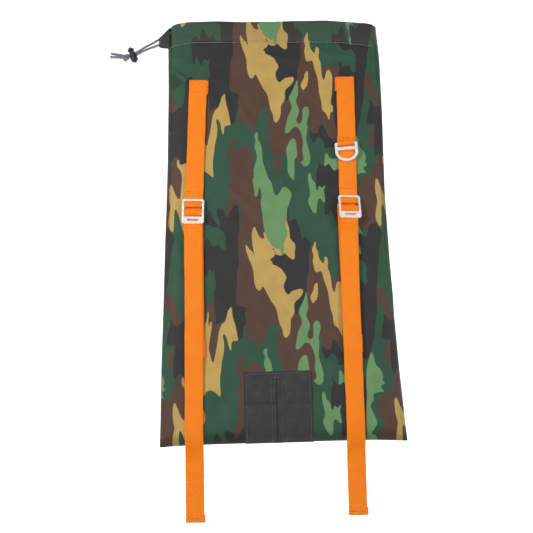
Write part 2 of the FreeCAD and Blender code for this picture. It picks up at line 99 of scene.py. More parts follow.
def make_lights():
    add_light("light_left", (-0.85, 0.25, 1.1), (0, 0, 0), 0.35, 9.6)
    add_light("light_right", (0.95, 0.05, 1.1), (0, 0, 0), 0.4, 6)
    add_light("light_top", (0.1, -0.1, 2.2), (0, 0, 0), 1.4, 5.4)
    world = bpy.data.worlds.new("world")
    world.use_nodes = True
    world.node_tree.nodes["Background"].inputs["Color"].default_value = (1, 1, 1, 1)
    world.node_tree.nodes["Background"].inputs["Strength"].default_value = 0.23
    bpy.context.scene.world = world
    bpy.context.scene.view_settings.view_transform = "Standard"


def make_floor():
    size = 6.0
    corners = [(-size, -size, 0), (size, -size, 0), (size, size, 0), (-size, size, 0)]
    mesh = bpy.data.meshes.new("floor")
    mesh.from_pydata(corners, [], [(0, 1, 2, 3)])
    floor = bpy.data.objects.new("floor", mesh)
    bpy.context.scene.collection.objects.link(floor)
    paint = Paint("floor", roughness=0.9)
    paint.set("Base Color", (0.93, 0.93, 0.93, 1))
    paint.set("Emission Color", (1, 1, 1, 1))
    paint.set("Emission Strength", 0.8)
    mesh.materials.append(paint.material)


# ---------------------------------------------------------------- materials


def tint(red, green, blue):
    """An 8-bit sRGB colour as the shader's linear one."""
    def linear(c):
        c /= 255
        return c / 12.92 if c <= 0.04045 else ((c + 0.055) / 1.055) ** 2.4
    return linear(red), linear(green), linear(blue), 1.0


class Paint:
    """A Principled material and the few kinds of node that these materials are made from."""

    def __init__(self, name, roughness=0.5):
        self.material = bpy.data.materials.new(name)
        self.material.use_nodes = True
        self.tree = self.material.node_tree
        self.shader = self.tree.nodes["Principled BSDF"]
        self.set("Roughness", roughness)

    def set(self, socket, value):
        self.feed(self.shader.inputs[socket], value)

    def feed(self, socket, value):
        if isinstance(value, bpy.types.NodeSocket):
            self.tree.links.new(value, socket)
        else:
            socket.default_value = value

    def uv(self):
        """The piece's own flat coordinates, in millimetres."""
        coords = self.tree.nodes.new("ShaderNodeUVMap")
        coords.uv_map = "flat"
        return coords.outputs["UV"]

    def place(self):
        """The position on the piece, in millimetres."""
        coords = self.tree.nodes.new("ShaderNodeTexCoord")
        mapping = self.tree.nodes.new("ShaderNodeMapping")
        mapping.inputs["Scale"].default_value = (1 / MM,) * 3
        self.tree.links.new(coords.outputs["Object"], mapping.inputs["Vector"])
        return mapping.outputs["Vector"]

    def math(self, operation, a, b=0.0, c=0.0):
        node = self.tree.nodes.new("ShaderNodeMath")
        node.operation = operation
        for socket, value in zip(node.inputs, (a, b, c)):
            self.feed(socket, value)
        return node.outputs[0]

    def noise(self, vector, scale, detail, roughness=0.55):
        node = self.tree.nodes.new("ShaderNodeTexNoise")
        self.feed(node.inputs["Vector"], vector)
        node.inputs["Scale"].default_value = scale
        node.inputs["Detail"].default_value = detail
        node.inputs["Roughness"].default_value = roughness
        return node.outputs["Fac"]

    def split(self, vector):
        node = self.tree.nodes.new("ShaderNodeSeparateXYZ")
        self.feed(node.inputs[0], vector)
        return node.outputs[0], node.outputs[1], node.outputs[2]

    def ramp(self, value, low, high, out_low=0.0, out_high=1.0):
        node = self.tree.nodes.new("ShaderNodeMapRange")
        node.interpolation_type = "SMOOTHSTEP"
        for key, amount in (("Value", value), ("From Min", low), ("From Max", high),
                            ("To Min", out_low), ("To Max", out_high)):
            self.feed(node.inputs[key], amount)
        return node.outputs["Result"]

    def mix(self, share, a, b, blend="MIX"):
        node = self.tree.nodes.new("ShaderNodeMix")
        node.data_type, node.blend_type = "RGBA", blend
        self.feed(node.inputs["Factor"], share)
        self.feed(node.inputs["A"], a)
        self.feed(node.inputs["B"], b)
        return node.outputs["Result"]

    def attribute(self, name):
        node = self.tree.nodes.new("ShaderNodeAttribute")
        node.attribute_name = name
        return node.outputs["Fac"]

    def bump(self, height, depth):
        """Relief from a height of 0 to 1 that is depth millimetres deep."""
        node = self.tree.nodes.new("ShaderNodeBump")
        node.inputs["Strength"].default_value = 1.0
        node.inputs["Distance"].default_value = depth * MM
        self.feed(node.inputs["Height"], height)
        self.tree.links.new(node.outputs["Normal"], self.shader.inputs["Normal"])

    def weave(self, u, v, pitch):
        """Plain weave: warp and weft threads that pass over each other in turn, 0 to 1."""
        turn = 2 * math.pi / pitch
        a = self.math("SINE", self.math("MULTIPLY", u, turn))
        b = self.math("SINE", self.math("MULTIPLY", v, turn))
        return self.math("MULTIPLY_ADD", self.math("MULTIPLY", a, b), 0.5, 0.5)


LAYERS = (("brown", tint(90, 65, 53)), ("black", tint(50, 49, 49)),
          ("tan", tint(197, 164, 92)), ("light", tint(110, 152, 100)))


def camo_paint():
    """Five-colour print on ripstop: each colour shows where its layer's attribute is above 0."""
    paint = Paint("camo_cloth", roughness=0.62)
    flat = paint.uv()
    u, v, _ = paint.split(flat)
    rough_edge = paint.math("MULTIPLY_ADD", paint.noise(flat, 0.9, 2.0), 1.2, -0.6)
    colour = tint(48, 85, 66)
    for layer, shade in LAYERS:
        depth = paint.math("ADD", paint.attribute(layer), rough_edge)
        colour = paint.mix(paint.ramp(depth, -0.3, 0.3), colour, shade)
    cloudy = paint.ramp(paint.noise(flat, 0.035, 4.0), 0.3, 0.7, 0.93, 1.06)
    specks = paint.ramp(paint.noise(flat, 1.7, 2.0), 0.25, 0.75, 0.9, 1.08)
    ribs = []
    for axis in (u, v):
        across = paint.math("ABSOLUTE", paint.math("SINE", paint.math("MULTIPLY", axis, math.pi / 5)))
        ribs.append(paint.ramp(across, 0.0, 0.22, 1.0, 0.0))
    rib = paint.math("MAXIMUM", ribs[0], ribs[1])
    worn = paint.math("MULTIPLY", paint.math("MULTIPLY", cloudy, specks),
                      paint.math("MULTIPLY_ADD", rib, -0.07, 1.0))
    colour = paint.mix(1.0, colour, paint_grey(paint, worn), "MULTIPLY")
    dull = paint.math("MULTIPLY", paint.attribute("dull"), 0.14)
    colour = paint.mix(dull, colour, tint(96, 96, 90))
    shade = paint.math("MULTIPLY_ADD", paint.attribute("shade"), -0.46, 1.0)
    paint.set("Base Color", paint.mix(1.0, colour, paint_grey(paint, shade), "MULTIPLY"))
    paint.set("Sheen Weight", 0.03)
    paint.set("Specular IOR Level", 0.3)
    weave = paint.weave(u, v, 0.9)
    height = paint.math("MULTIPLY_ADD", rib, 0.7, paint.math("MULTIPLY", weave, 0.3))
    paint.bump(height, 0.07)
    return paint.material


def paint_grey(paint, value):
    """A grey colour of the value."""
    node = paint.tree.nodes.new("ShaderNodeCombineColor")
    for socket in node.inputs:
        paint.feed(socket, value)
    return node.outputs[0]


def webbing_paint():
    """Blaze orange webbing: fine ribs along it, crossed by the weft, in a twill, with a faint painted glow.
    """
    paint = Paint("webbing", roughness=0.6)
    flat = paint.uv()
    u, v, _ = paint.split(flat)
    ribs = paint.math("SINE", paint.math("MULTIPLY", u, 2 * math.pi / 1.7))
    slant = paint.math("SINE", paint.math("MULTIPLY", paint.math("ADD", v, u), 2 * math.pi / 2.3))
    woven = paint.math("MULTIPLY_ADD", paint.math("MULTIPLY", ribs, slant), 0.5, 0.5)
    fuzz = paint.noise(flat, 2.6, 3.0)
    patchy = paint.noise(flat, 0.05, 3.0)
    # Painted shade: the twill's low places are drawn darker than its raised ones, on top of the bump that
    # raises them.
    shade = paint.mix(paint.ramp(woven, 0.0, 0.7), tint(222, 62, 0), tint(255, 152, 18))
    shade = paint.mix(paint.ramp(patchy, 0.35, 0.7, 0.0, 0.35), shade, tint(255, 112, 2))
    shade = paint.mix(paint.ramp(fuzz, 0.62, 0.8, 0.0, 0.3), shade, tint(255, 165, 70))
    paint.set("Base Color", shade)
    # Painted light: the webbing glows faintly in its own colour, which makes it brighter than the lamps
    # alone would.
    paint.set("Emission Color", shade)
    paint.set("Emission Strength", 0.14)
    paint.set("Specular IOR Level", 0.3)
    height = paint.math("MULTIPLY_ADD", fuzz, 0.3, paint.math("MULTIPLY", woven, 0.7))
    paint.bump(height, 0.4)
    return paint.material


def black_paint():
    """Matt black pack cloth of a coarser plain weave."""
    paint = Paint("black_cloth", roughness=0.75)
    flat = paint.uv()
    u, v, _ = paint.split(flat)
    weave = paint.weave(u, v, 1.1)
    cloudy = paint.noise(flat, 0.08, 4.0)
    # Painted shade: the weave's low places are drawn darker than its raised ones.
    shade = paint.mix(paint.ramp(weave, 0.1, 0.9), tint(45, 45, 45), tint(58, 58, 57))
    paint.set("Base Color", paint.mix(paint.ramp(cloudy, 0.35, 0.75, 0.0, 0.35), shade, tint(76, 75, 73)))
    paint.set("Sheen Weight", 0.04)
    paint.bump(weave, 0.12)
    return paint.material


def thread_paint(name, light, dark):
    """Two-ply sewing thread, whose plies slant along it."""
    paint = Paint(name, roughness=0.6)
    u, v, _ = paint.split(paint.uv())
    ply = paint.math("SINE", paint.math("MULTIPLY", paint.math("ADD", u, v), 9.0))
    ply = paint.math("MULTIPLY_ADD", ply, 0.5, 0.5)
    # Painted shade: the grooves between the plies are drawn darker than the plies' crowns.
    paint.set("Base Color", paint.mix(ply, dark, light))
    paint.bump(ply, 0.05)
    return paint.material


def cord_paint():
    """Grey braid: painted shade darkens the valleys between the strands, which the mesh itself raises."""
    paint = Paint("cord", roughness=0.65)
    flat = paint.uv()
    strand = paint.attribute("strand")
    fuzz = paint.noise(flat, 3.0, 3.0)
    # Painted shade: the valleys between the strands are drawn darker than the strands' crowns.
    shade = paint.mix(paint.ramp(strand, 0.0, 0.8), tint(62, 66, 74), tint(128, 132, 140))
    paint.set("Base Color", paint.mix(paint.ramp(fuzz, 0.5, 0.8, 0.0, 0.4), shade, tint(132, 136, 146)))
    paint.set("Sheen Weight", 0.04)
    paint.bump(fuzz, 0.1)
    return paint.material


def metal_paint():
    """White lacquer over cast metal: smooth, a little uneven, with thin grey worn spots."""
    paint = Paint("hardware", roughness=0.22)
    spot = paint.place()
    flow = paint.noise(spot, 0.12, 2.0)
    wear = paint.ramp(paint.noise(spot, 0.45, 5.0, 0.7), 0.66, 0.74)
    shade = paint.mix(paint.ramp(flow, 0.3, 0.7), tint(236, 237, 238), tint(248, 248, 248))
    paint.set("Base Color", paint.mix(paint.math("MULTIPLY", wear, 0.3), shade, tint(170, 168, 165)))
    paint.set("Roughness", paint.ramp(flow, 0.3, 0.7, 0.16, 0.32))
    paint.set("Coat Weight", 0.6)
    paint.set("Coat Roughness", 0.08)
    paint.set("Metallic", 0.1)
    paint.bump(paint.noise(spot, 0.5, 2.0), 0.08)
    return paint.material


def plastic_paint():
    """Moulded black acetal with a fine spark-eroded skin and rubbed high spots."""
    paint = Paint("lock_plastic", roughness=0.42)
    spot = paint.place()
    grain = paint.noise(spot, 2.4, 4.0)
    rubbed = paint.ramp(paint.noise(spot, 0.35, 3.0), 0.5, 0.75)
    paint.set("Base Color", paint.mix(rubbed, tint(38, 38, 39), tint(58, 58, 60)))
    paint.set("Roughness", paint.ramp(grain, 0.3, 0.7, 0.34, 0.55))
    paint.bump(grain, 0.05)
    return paint.material


def steel_paint():
    paint = Paint("spring_wire", roughness=0.3)
    spot = paint.place()
    drawn = paint.noise(spot, 1.5, 3.0)
    paint.set("Base Color", paint.mix(drawn, tint(150, 150, 152), tint(205, 205, 208)))
    paint.set("Metallic", 1.0)
    paint.bump(drawn, 0.02)
    return paint.material


# ---------------------------------------------------------------- mesh helpers


def new_piece(name, points, faces, material, uv, layers=None):
    """A mesh object from points in millimetres, with its flat coordinates and attributes."""
    mesh = bpy.data.meshes.new(name)
    mesh.from_pydata((np.asarray(points) * MM).tolist(), [], np.asarray(faces).tolist())
    mesh.materials.append(MATERIALS[material])
    loops = np.zeros(len(mesh.loops), np.int32)
    mesh.loops.foreach_get("vertex_index", loops)
    table = mesh.uv_layers.new(name="flat")
    table.data.foreach_set("uv", np.asarray(uv, np.float32)[loops].ravel())
    for key, values in (layers or {}).items():
        field = mesh.attributes.new(key, "FLOAT", "POINT")
        field.data.foreach_set("value", np.asarray(values, np.float32).ravel())
    mesh.polygons.foreach_set("use_smooth", [True] * len(mesh.polygons))
    mesh.update()
    piece = bpy.data.objects.new(name, mesh)
    bpy.context.scene.collection.objects.link(piece)
    return piece


def grid_faces(rows, columns, wrap=False):
    """Quads over a grid of points that is stored row by row; wrap joins its last column to its first."""
    row, column = np.meshgrid(np.arange(rows - 1), np.arange(columns if wrap else columns - 1),
                              indexing="ij")
    near, far = row * columns, (row + 1) * columns
    after = (column + 1) % columns
    return np.stack([near + column, near + after, far + after, far + column], -1).reshape(-1, 4)


def tube_faces(rows, columns):
    """The quads of a tube and its two flat ends."""
    faces = grid_faces(rows, columns, wrap=True).tolist()
    return faces + [list(range(columns))[::-1], [(rows - 1) * columns + i for i in range(columns)]]


def spline(points, step):
    """Points about step apart on a smooth open curve through the given ones."""
    points = np.array(points, float)
    ends = [2 * points[0] - points[1], *points, 2 * points[-1] - points[-2]]
    a, b, c, d = (np.array(ends[i:len(ends) - 3 + i]) for i in range(4))
    share = np.linspace(0, 1, 40, endpoint=False)[:, None, None]
    dense = 0.5 * (2 * b + (c - a) * share + (2 * a - 5 * b + 4 * c - d) * share**2
                   + (3 * b - a - 3 * c + d) * share**3)
    dense = np.vstack([dense.transpose(1, 0, 2).reshape(-1, points.shape[1]), points[-1]])
    return even(dense, step)


def even(line, step):
    """The line again, with its points about step apart."""
    run = np.concatenate([[0], np.cumsum(np.linalg.norm(np.diff(line, axis=0), axis=1))])
    count = max(2, int(round(run[-1] / step)) + 1)
    at = np.linspace(0, run[-1], count)
    return np.stack([np.interp(at, run, line[:, i]) for i in range(line.shape[1])], 1)


def wander(x, y, size, seed):
    """Smooth unevenness, mostly between -1 and 1, in waves about size across."""
    draw = np.random.default_rng(seed)
    total = 0
    for _ in range(8):
        angle, phase = draw.uniform(0, 2 * math.pi, 2)
        wave = 2 * math.pi / (size * draw.uniform(0.6, 1.6))
        total = total + np.cos((x * math.cos(angle) + y * math.sin(angle)) * wave + phase)
    return total / 4


def step_up(value, low, high):
    share = np.clip((value - low) / (high - low), 0, 1)
    return share * share * (3 - 2 * share)


# ---------------------------------------------------------------- the sack's shape

# The sack's outline as (y, x) at its sides and (x, y) at its ends.
LEFT_SIDE = [(-250, -167.2), (-200, -165.6), (-150, -164.3), (-100, -162.2), (-60, -160.4),
             (0, -158.2), (50, -156.2), (100, -153.8), (150, -152), (250, -149.6), (345, -149)]
RIGHT_SIDE = [(-250, 167.4), (-230, 165.6), (-200, 163.8), (-150, 160.6), (-80, 157.4),
              (-50, 157), (0, 154.8), (100, 152.5), (220, 154), (300, 153.6), (345, 150.4)]
MOUTH = [(-148, 343.5), (-140, 347), (-125, 350.3), (-78, 350.5), (-40, 348), (40, 347.5),
         (80, 347), (100, 344.8), (120, 343), (150, 339.8)]
BASE = [(-166, -250), (-150, -249), (-120, -248), (0, -247.4), (120, -247.6), (150, -249),
        (165, -250)]
HEM_ROW = [(-148, 314), (-115, 320), (-70, 319.4), (-20, 319), (30, 316.4), (60, 316), (100, 314),
           (120, 311), (148, 307)]
# Creases in the front: (x, y) at each end, height and half width.
CREASES = [
    (-140, 280, -121, 262, 1.3, 1.8), (-146, 300, -134, 296, 0.8, 2.5),
    (-60, 250, -20, 175, 0.5, 5.0), (20, 270, 70, 215, 0.45, 6.0), (-80, 120, -20, 60, 0.5, 6.0),
    (30, 40, 80, -30, 0.5, 6.0), (-90, -40, -40, -120, 0.6, 5.0), (50, -110, 110, -170, 0.5, 5.0),
    (-150, 60, -136, 10, 0.7, 3.0), (146, 120, 134, 60, 0.6, 3.0), (-150, -150, -138, -210, 0.7, 3.5),
    (-40, 300, 30, 292, 0.5, 5.0), (60, 305, 118, 290, 0.5, 4.0), (-20, -60, 30, -140, 0.4, 6.0),
    (118, -30, 150, -70, 0.6, 3.5), (-151, 200, -140, 140, 0.6, 3.0), (148, 250, 138, 190, 0.6, 3.0),
]
PLATEAU = 12.3
EDGE_Z = 1.0


def along(table, value):
    keys, amounts = zip(*table)
    return np.interp(value, keys, amounts)


def soft_table(table, reach=9.0):
    """The table as a function without kinks: its straight runs averaged over reach each way."""
    offsets = np.linspace(-reach, reach, 7)
    return lambda value: sum(along(table, value + offset) for offset in offsets) / len(offsets)


left_side, right_side = soft_table(LEFT_SIDE), soft_table(RIGHT_SIDE)
mouth_line, base_line, hem_row = soft_table(MOUTH, 5.0), soft_table(BASE), soft_table(HEM_ROW)


def rise(distance, reach):
    """How far the cloth has come up at a distance in from its edge, from 0 to 1."""
    return 1 - (1 - np.clip(distance / reach, 0, 1)) ** 2.6


def crease_height(x, y):
    total = np.zeros_like(x)
    for x0, y0, x1, y1, height, width in CREASES:
        dx, dy = x1 - x0, y1 - y0
        share = np.clip(((x - x0) * dx + (y - y0) * dy) / (dx * dx + dy * dy), 0, 1)
        away = np.hypot(x - x0 - share * dx, y - y0 - share * dy)
        total += 2.4 * height * np.exp(-((away / width) ** 2)) * np.sin(math.pi * (0.08 + 0.84 * share))
    return total


def front_height(x, y):
    """The height of the sack's upper cloth over its plan."""
    side = np.minimum(x - left_side(y), right_side(y) - x)
    near_mouth = step_up(y, 290, 320)
    end = y - base_line(x)
    shape = rise(side, 26 - 12 * near_mouth) * rise(end, 24)
    seam = np.exp(-side / 9)
    pucker = wander(x * 0.15, y, 15, 3) * seam * 1.1 + wander(x, y, 9, 8) * seam * 0.35
    to_row = y - hem_row(x)
    gather = wander(x, y * 0.3, 13, 5) * np.exp(-np.abs(to_row + 3) / 8) * 0.5
    swell = wander(x, y, 90, 1) * 0.6 + wander(x, y, 36, 2) * 0.4
    wrinkle = np.exp(-((wander(x, y, 34, 11) / 0.09) ** 2)) * step_up(wander(x, y, 52, 4), 0.1, 0.9)
    swell = swell + 0.75 * wrinkle
    bulge = 1.1 * step_up(to_row, 1, 8) + 0.6 * np.exp(-(((to_row - 17) / 10) ** 2))
    bulge = bulge - np.exp(-((to_row / 2.0) ** 2))
    end_seam = wander(x, y * 0.2, 17, 6) * np.exp(-end / 8) * 0.6
    height = EDGE_Z + (PLATEAU - EDGE_Z) * shape
    height = height + (swell + crease_height(x, y) + gather + bulge) * rise(side, 20) * rise(end, 24)
    height = height + pucker * rise(side, 5) + end_seam * rise(end, 6)
    under_straps = np.exp(-(((np.abs(x + 8.5) - 107) / 20) ** 4))
    top = 14.05 - 0.3 * under_straps
    near_top = step_up(height, top - 1.5, top + 1.5)
    height = height - near_top * np.maximum(height - top + 0.35, 0)
    return np.clip(height, 0.7, top)


# ---------------------------------------------------------------- the printed pattern

REPEAT_X, REPEAT_Y = 288.5, 305.0

# Outlines of the printed patches over one repeat of the print, smoothed into curves.
PRINT = {
    "brown": [
        [(-52, 352), (-55, 340), (-56.3, 319), (-55.5, 305), (-58.7, 292), (-60, 278), (-61.3, 262),
         (-60.8, 246), (-49, 240), (-51.3, 232), (-49.7, 220), (-50.8, 205), (-49.2, 195), (-46, 198),
         (-42.5, 200.5), (-38.5, 195), (-36.7, 188), (-34.2, 186.5), (-30, 190), (-25, 199),
         (-21.7, 206), (-19, 214), (-15, 219), (-9, 214), (-8, 205), (-8.7, 185), (-7.5, 175),
         (-5.8, 160), (-3.3, 150), (-1.7, 138), (-1.7, 127), (0.8, 121.7), (3, 122), (5.8, 127),
         (7.5, 138), (10, 150), (13.3, 152), (15.8, 155), (17.5, 164), (21.7, 171), (25.8, 173.3),
         (29.2, 170), (30.3, 160), (30.8, 147), (33.3, 141.7), (35.8, 139.7), (38.3, 141),
         (39.7, 145), (38.8, 157), (39.7, 168), (38.3, 178), (35, 186.7), (30.8, 190.3), (26.7, 189),
         (22.5, 185), (18.3, 181.7), (15, 183), (15.3, 187), (17.5, 196), (20, 207), (25, 217),
         (24.2, 223), (21.7, 232), (15, 240), (-5, 262), (-20, 290), (-33, 320), (-35, 352)],
        [(45, 323), (41.7, 316), (40.5, 300), (40, 290), (36.7, 280), (34.5, 268), (33.7, 257),
         (35, 238), (31.7, 228), (35, 216), (35, 210), (31.5, 201), (32.5, 196.5), (36, 195),
         (39, 198), (40, 208), (41, 215), (44, 219.5), (48.5, 218), (49.7, 211), (48, 203),
         (50.5, 191), (51, 187), (54, 181.5), (57.5, 180), (61.7, 181.7), (63, 188), (64.5, 192.7),
         (67.5, 193), (71, 186.5), (76.5, 175), (82.8, 167), (86, 176), (88, 200), (90, 230),
         (93, 255), (94, 266), (95, 275), (88, 278.5), (80, 280), (75, 279), (70, 276.5), (62, 290),
         (55, 300), (50, 312)],
        [(-58, 177), (-54.2, 174.5), (-56.7, 165.8), (-55.8, 160.8), (-51.7, 156.7), (-48.3, 159),
         (-45.8, 164), (-42.5, 165.8), (-36.7, 163.3), (-31.7, 155.8), (-30.8, 148), (-31.3, 137),
         (-30.8, 120), (-32.5, 113), (-30, 95), (-26, 95), (-24.2, 105), (-22, 104), (-21.3, 92),
         (-22.5, 83), (-21.7, 73), (-20, 58), (-19.3, 40), (-17.5, 28), (-18, 24), (-20, 23.3),
         (-23.3, 28.3), (-26, 34), (-29, 38), (-34, 30), (-40, 20), (-52, 25), (-50.5, 40),
         (-49.7, 67), (-50.3, 77), (-53.3, 80), (-56.7, 79), (-60, 73), (-63.3, 67), (-66.7, 61.7),
         (-69.2, 62), (-71.3, 66.7), (-70, 73), (-68.3, 83), (-66.3, 97), (-66.7, 107),
         (-63.3, 111.7), (-60.8, 115), (-64.2, 121.7), (-64.7, 130), (-62.5, 137), (-62, 146),
         (-65, 147.5), (-67, 151), (-65, 157), (-63.3, 165), (-61.7, 172.5)],
        [(130.8, 263.5), (137.5, 264), (139.2, 258), (141.7, 252), (145, 242), (148.3, 232),
         (151, 221.5), (147.5, 218), (142.5, 218), (139.2, 223), (137.5, 232), (135, 240),
         (130.8, 240), (128.7, 238), (129.2, 252)],
        [(142.5, 191), (140.8, 183), (140, 173), (139.7, 160), (136.7, 157.5), (133.3, 161.7),
         (132, 170), (133.3, 180), (137.5, 187)],
        [(149.5, 152), (145, 148), (144, 142), (141, 135), (136, 128.5), (137.5, 122.5), (133, 120),
         (127, 118.5), (120, 113.5), (118.3, 109), (116.3, 100), (116, 93), (119, 86.5), (121, 80),
         (119, 73), (116.7, 62), (116, 53), (117, 46.5), (120, 38.5), (122.8, 34), (124.5, 39),
         (128.5, 43.5), (134, 48), (138, 60), (146, 100), (150, 92.5), (152.7, 90), (154.8, 95),
         (155.5, 106), (156.8, 118), (156, 130), (152.5, 140), (152.5, 147)],
        [(-101, 246), (-97.5, 248.5), (-92.5, 250), (-91.7, 246), (-91, 229), (-90.3, 218),
         (-88.5, 224), (-86, 231.5), (-83, 226), (-78, 222), (-80, 205), (-88.3, 200), (-90, 190),
         (-93.3, 175), (-96.2, 164.5), (-99.3, 177), (-101, 186), (-100, 210), (-103, 230)],
    ],
    "black": [
        [(-101, 362), (-97, 372), (-93.3, 379), (-90.5, 372), (-88, 365), (-84.5, 360), (-78.5, 353),
         (-79.7, 360), (-82, 368), (-84, 376), (-82, 380), (-73, 376), (-69.5, 367), (-63, 378),
         (-59.5, 384), (-56.3, 385), (-53, 381), (-52.7, 350), (-55, 340), (-56.3, 319),
         (-55.5, 305), (-58.7, 292), (-60, 278), (-61.3, 262), (-60.8, 246), (-49, 240),
         (-51.3, 232), (-49.7, 220), (-53.3, 213), (-55, 205), (-55.5, 200), (-61.7, 197),
         (-66, 215), (-70, 235), (-76, 225), (-84, 222), (-90.3, 218), (-91, 229), (-92, 246),
         (-92.5, 262), (-89.5, 270), (-89.2, 278), (-90.8, 287), (-88.7, 294.5), (-89.7, 296),
         (-91.5, 292), (-93.5, 292.5), (-96, 295.5), (-98.3, 293), (-100.8, 284), (-103.3, 288),
         (-106, 296), (-108, 300.5), (-109.8, 296), (-111.7, 285.5), (-113.5, 292), (-115, 313),
         (-114.2, 323.5), (-112.5, 327.5), (-109, 329.3), (-105, 326), (-102.5, 323.5),
         (-101.7, 330), (-98.3, 339.3), (-95.8, 336), (-93, 331), (-90, 327.5), (-85.8, 327.5),
         (-84.2, 330.5), (-82.2, 327.5), (-79, 322.5), (-75, 320.8), (-72.5, 322.5), (-73.3, 330),
         (-72.5, 338), (-73.5, 345), (-79, 350), (-84, 354), (-90, 354), (-93, 357), (-98, 359)],
        [(134.2, 227.5), (137, 227), (139.5, 223), (142.5, 218.5), (147.5, 218.5), (151, 221),
         (156, 224), (159.5, 224), (161.5, 232), (163.5, 247), (164.3, 262), (170, 268), (176, 262),
         (176, 200), (170, 150), (162, 141.5), (158.5, 140), (154.3, 141.7), (154.3, 147),
         (151, 150.5), (147.7, 153), (143.5, 147), (140.3, 148), (139.5, 160), (140, 173),
         (141, 183), (143, 191), (139, 191), (131, 192.5), (131.3, 202), (133.3, 212), (136, 221)],
        [(131, 353), (136, 354), (140, 350), (143, 345), (144.5, 338), (141, 325), (138.3, 312),
         (137.5, 303), (135, 293), (134.2, 283), (131.7, 270), (130, 260), (128.7, 247), (128, 235),
         (125.8, 222), (123.3, 212), (121.7, 200), (116.7, 183), (113.7, 176), (110, 165),
         (98, 170), (86, 190), (84, 220), (80.8, 223), (84, 236), (88, 245), (93, 260), (93.3, 268),
         (95.8, 275), (94.2, 286.7), (96.7, 285), (99.2, 278), (103.3, 277), (108.3, 279),
         (112.5, 270), (115.8, 268), (118.3, 271.7), (118, 282), (119.2, 290), (118.3, 295),
         (114.2, 301.7), (110, 303), (105, 301), (100.8, 303), (96.7, 308), (94.2, 313), (90, 314),
         (87.5, 311), (85.3, 314), (85, 321.7), (86.7, 328), (83.7, 335), (85.8, 335), (88.3, 328),
         (91.7, 325), (95, 327.5), (97.5, 333), (99.2, 339), (102.5, 336.7), (105, 326.7),
         (107.5, 318), (110, 315), (112.5, 338), (120, 334), (124, 339), (127, 350)],
        [(59.7, 143), (64, 135), (68.3, 132.5), (73.3, 135), (77, 131.5), (81, 126.5), (86, 125),
         (95, 130), (104, 142), (107.5, 140), (106.5, 117), (105, 103), (102.5, 87), (101.5, 60),
         (95, 45), (84, 45), (80.8, 53), (78.3, 62), (75.8, 67.5), (73.3, 66), (69.2, 61.5),
         (66.7, 64), (66.7, 73), (67.5, 83), (68, 93), (66, 100), (60, 104), (57.5, 97.5),
         (55.3, 100), (55.8, 107), (56.7, 117), (57.5, 127), (60.8, 133), (59, 140)],
        [(49.7, 188), (53.3, 181), (58.3, 180), (61.7, 181.7), (62.8, 187.5), (65, 192.5),
         (68.3, 193), (70.8, 187.5), (75, 178), (82.5, 167.5), (88, 164), (88, 158), (80, 160),
         (71.7, 158), (69.2, 160), (68.7, 166), (65.8, 171.7), (62.5, 174), (59.2, 172.5),
         (56.7, 168), (53.3, 166.7), (51.7, 171.7), (50, 177.5)],
        [(-8, 323.3), (-5, 321.7), (-3.3, 315.8), (1.7, 312), (4.2, 312), (7.5, 315), (10, 313),
         (13.3, 309), (17.5, 306.3), (20, 305.8), (21.7, 309), (21.7, 315), (23, 321.7),
         (22.5, 327.5), (18.3, 333), (16.7, 338), (16.7, 347), (15, 358), (12.3, 376), (13, 381),
         (15, 382), (16.3, 376), (16, 366), (17, 360), (20, 360.5), (23.3, 363), (27, 361.5),
         (29, 354), (30.8, 347), (32.5, 338), (34.2, 332.5), (35, 336), (37.5, 337.5), (40.8, 333),
         (44.2, 326.7), (42.5, 318), (40.8, 308), (40.3, 292), (37.5, 281.7), (35.3, 271.7),
         (34.7, 261.7), (31.7, 253), (27.5, 245), (23.3, 236.7), (20.8, 231), (17.5, 229),
         (16.3, 241.7), (18.3, 246.7), (24.2, 251.7), (28.3, 256.7), (29.7, 261.7), (27.5, 264.2),
         (21.7, 263.7), (15, 261.7), (10, 257), (6.7, 258.7), (4.2, 265), (4.2, 271.7), (7.5, 278),
         (8.3, 281.7), (5.8, 286.7), (1.7, 293), (-5, 297.5), (-10, 300), (-10, 303),
         (-13.3, 306.3), (-10, 308), (-5.8, 311), (-5.8, 316), (-9, 320.5)],
    ],
    "tan": [
        [(-45.8, 330), (-44.2, 328), (-40.8, 322.5), (-36.7, 318), (-35, 313), (-33.3, 312.5),
         (-34.7, 319), (-36.2, 333), (-35.3, 347.5), (-31.5, 353.5), (-29.2, 347.5), (-26.7, 341),
         (-23.3, 337), (-20, 336), (-18.7, 338), (-20, 345), (-17.5, 345), (-15, 338),
         (-10.8, 331.7), (-6.7, 327.5), (-1.7, 327), (1.7, 325), (2.5, 319), (3.8, 316.3),
         (5.3, 319), (6.3, 328), (8, 336.7), (10, 345), (9, 360), (10, 366), (13, 360), (16, 350),
         (16.3, 338), (18.3, 333), (22.5, 328), (23, 321.7), (21.7, 315), (21.7, 309), (20, 305.8),
         (17.5, 306.3), (13.3, 309), (10, 313), (7.5, 315), (4.2, 312), (0, 312), (-4.2, 314),
         (-5.8, 319), (-8, 323.3), (-9, 320.8), (-5.8, 315.8), (-6.7, 311.3), (-10, 308.3),
         (-13.3, 306.3), (-10, 303), (-10, 300), (-5, 297.5), (1.7, 293), (5.8, 286.7), (8.3, 281.7),
         (7.5, 278), (4.2, 271.7), (4.2, 265), (6.7, 258.7), (10, 257), (15, 261.7), (21.7, 263.7),
         (27.5, 264.2), (29.7, 261.7), (28.3, 256.7), (24.2, 251.7), (18.3, 246.7), (16.3, 241.7),
         (16.3, 233), (13.3, 226.7), (10.3, 221.7), (9.7, 211.7), (7.5, 203), (4.2, 198.3),
         (1.7, 197.5), (-0.8, 201.7), (-1.7, 210), (-5, 218), (-7.5, 235), (-10, 241.7),
         (-14.2, 248), (-17.5, 255), (-23.3, 267.5), (-25.8, 269.7), (-27, 265.8), (-29.2, 263.7),
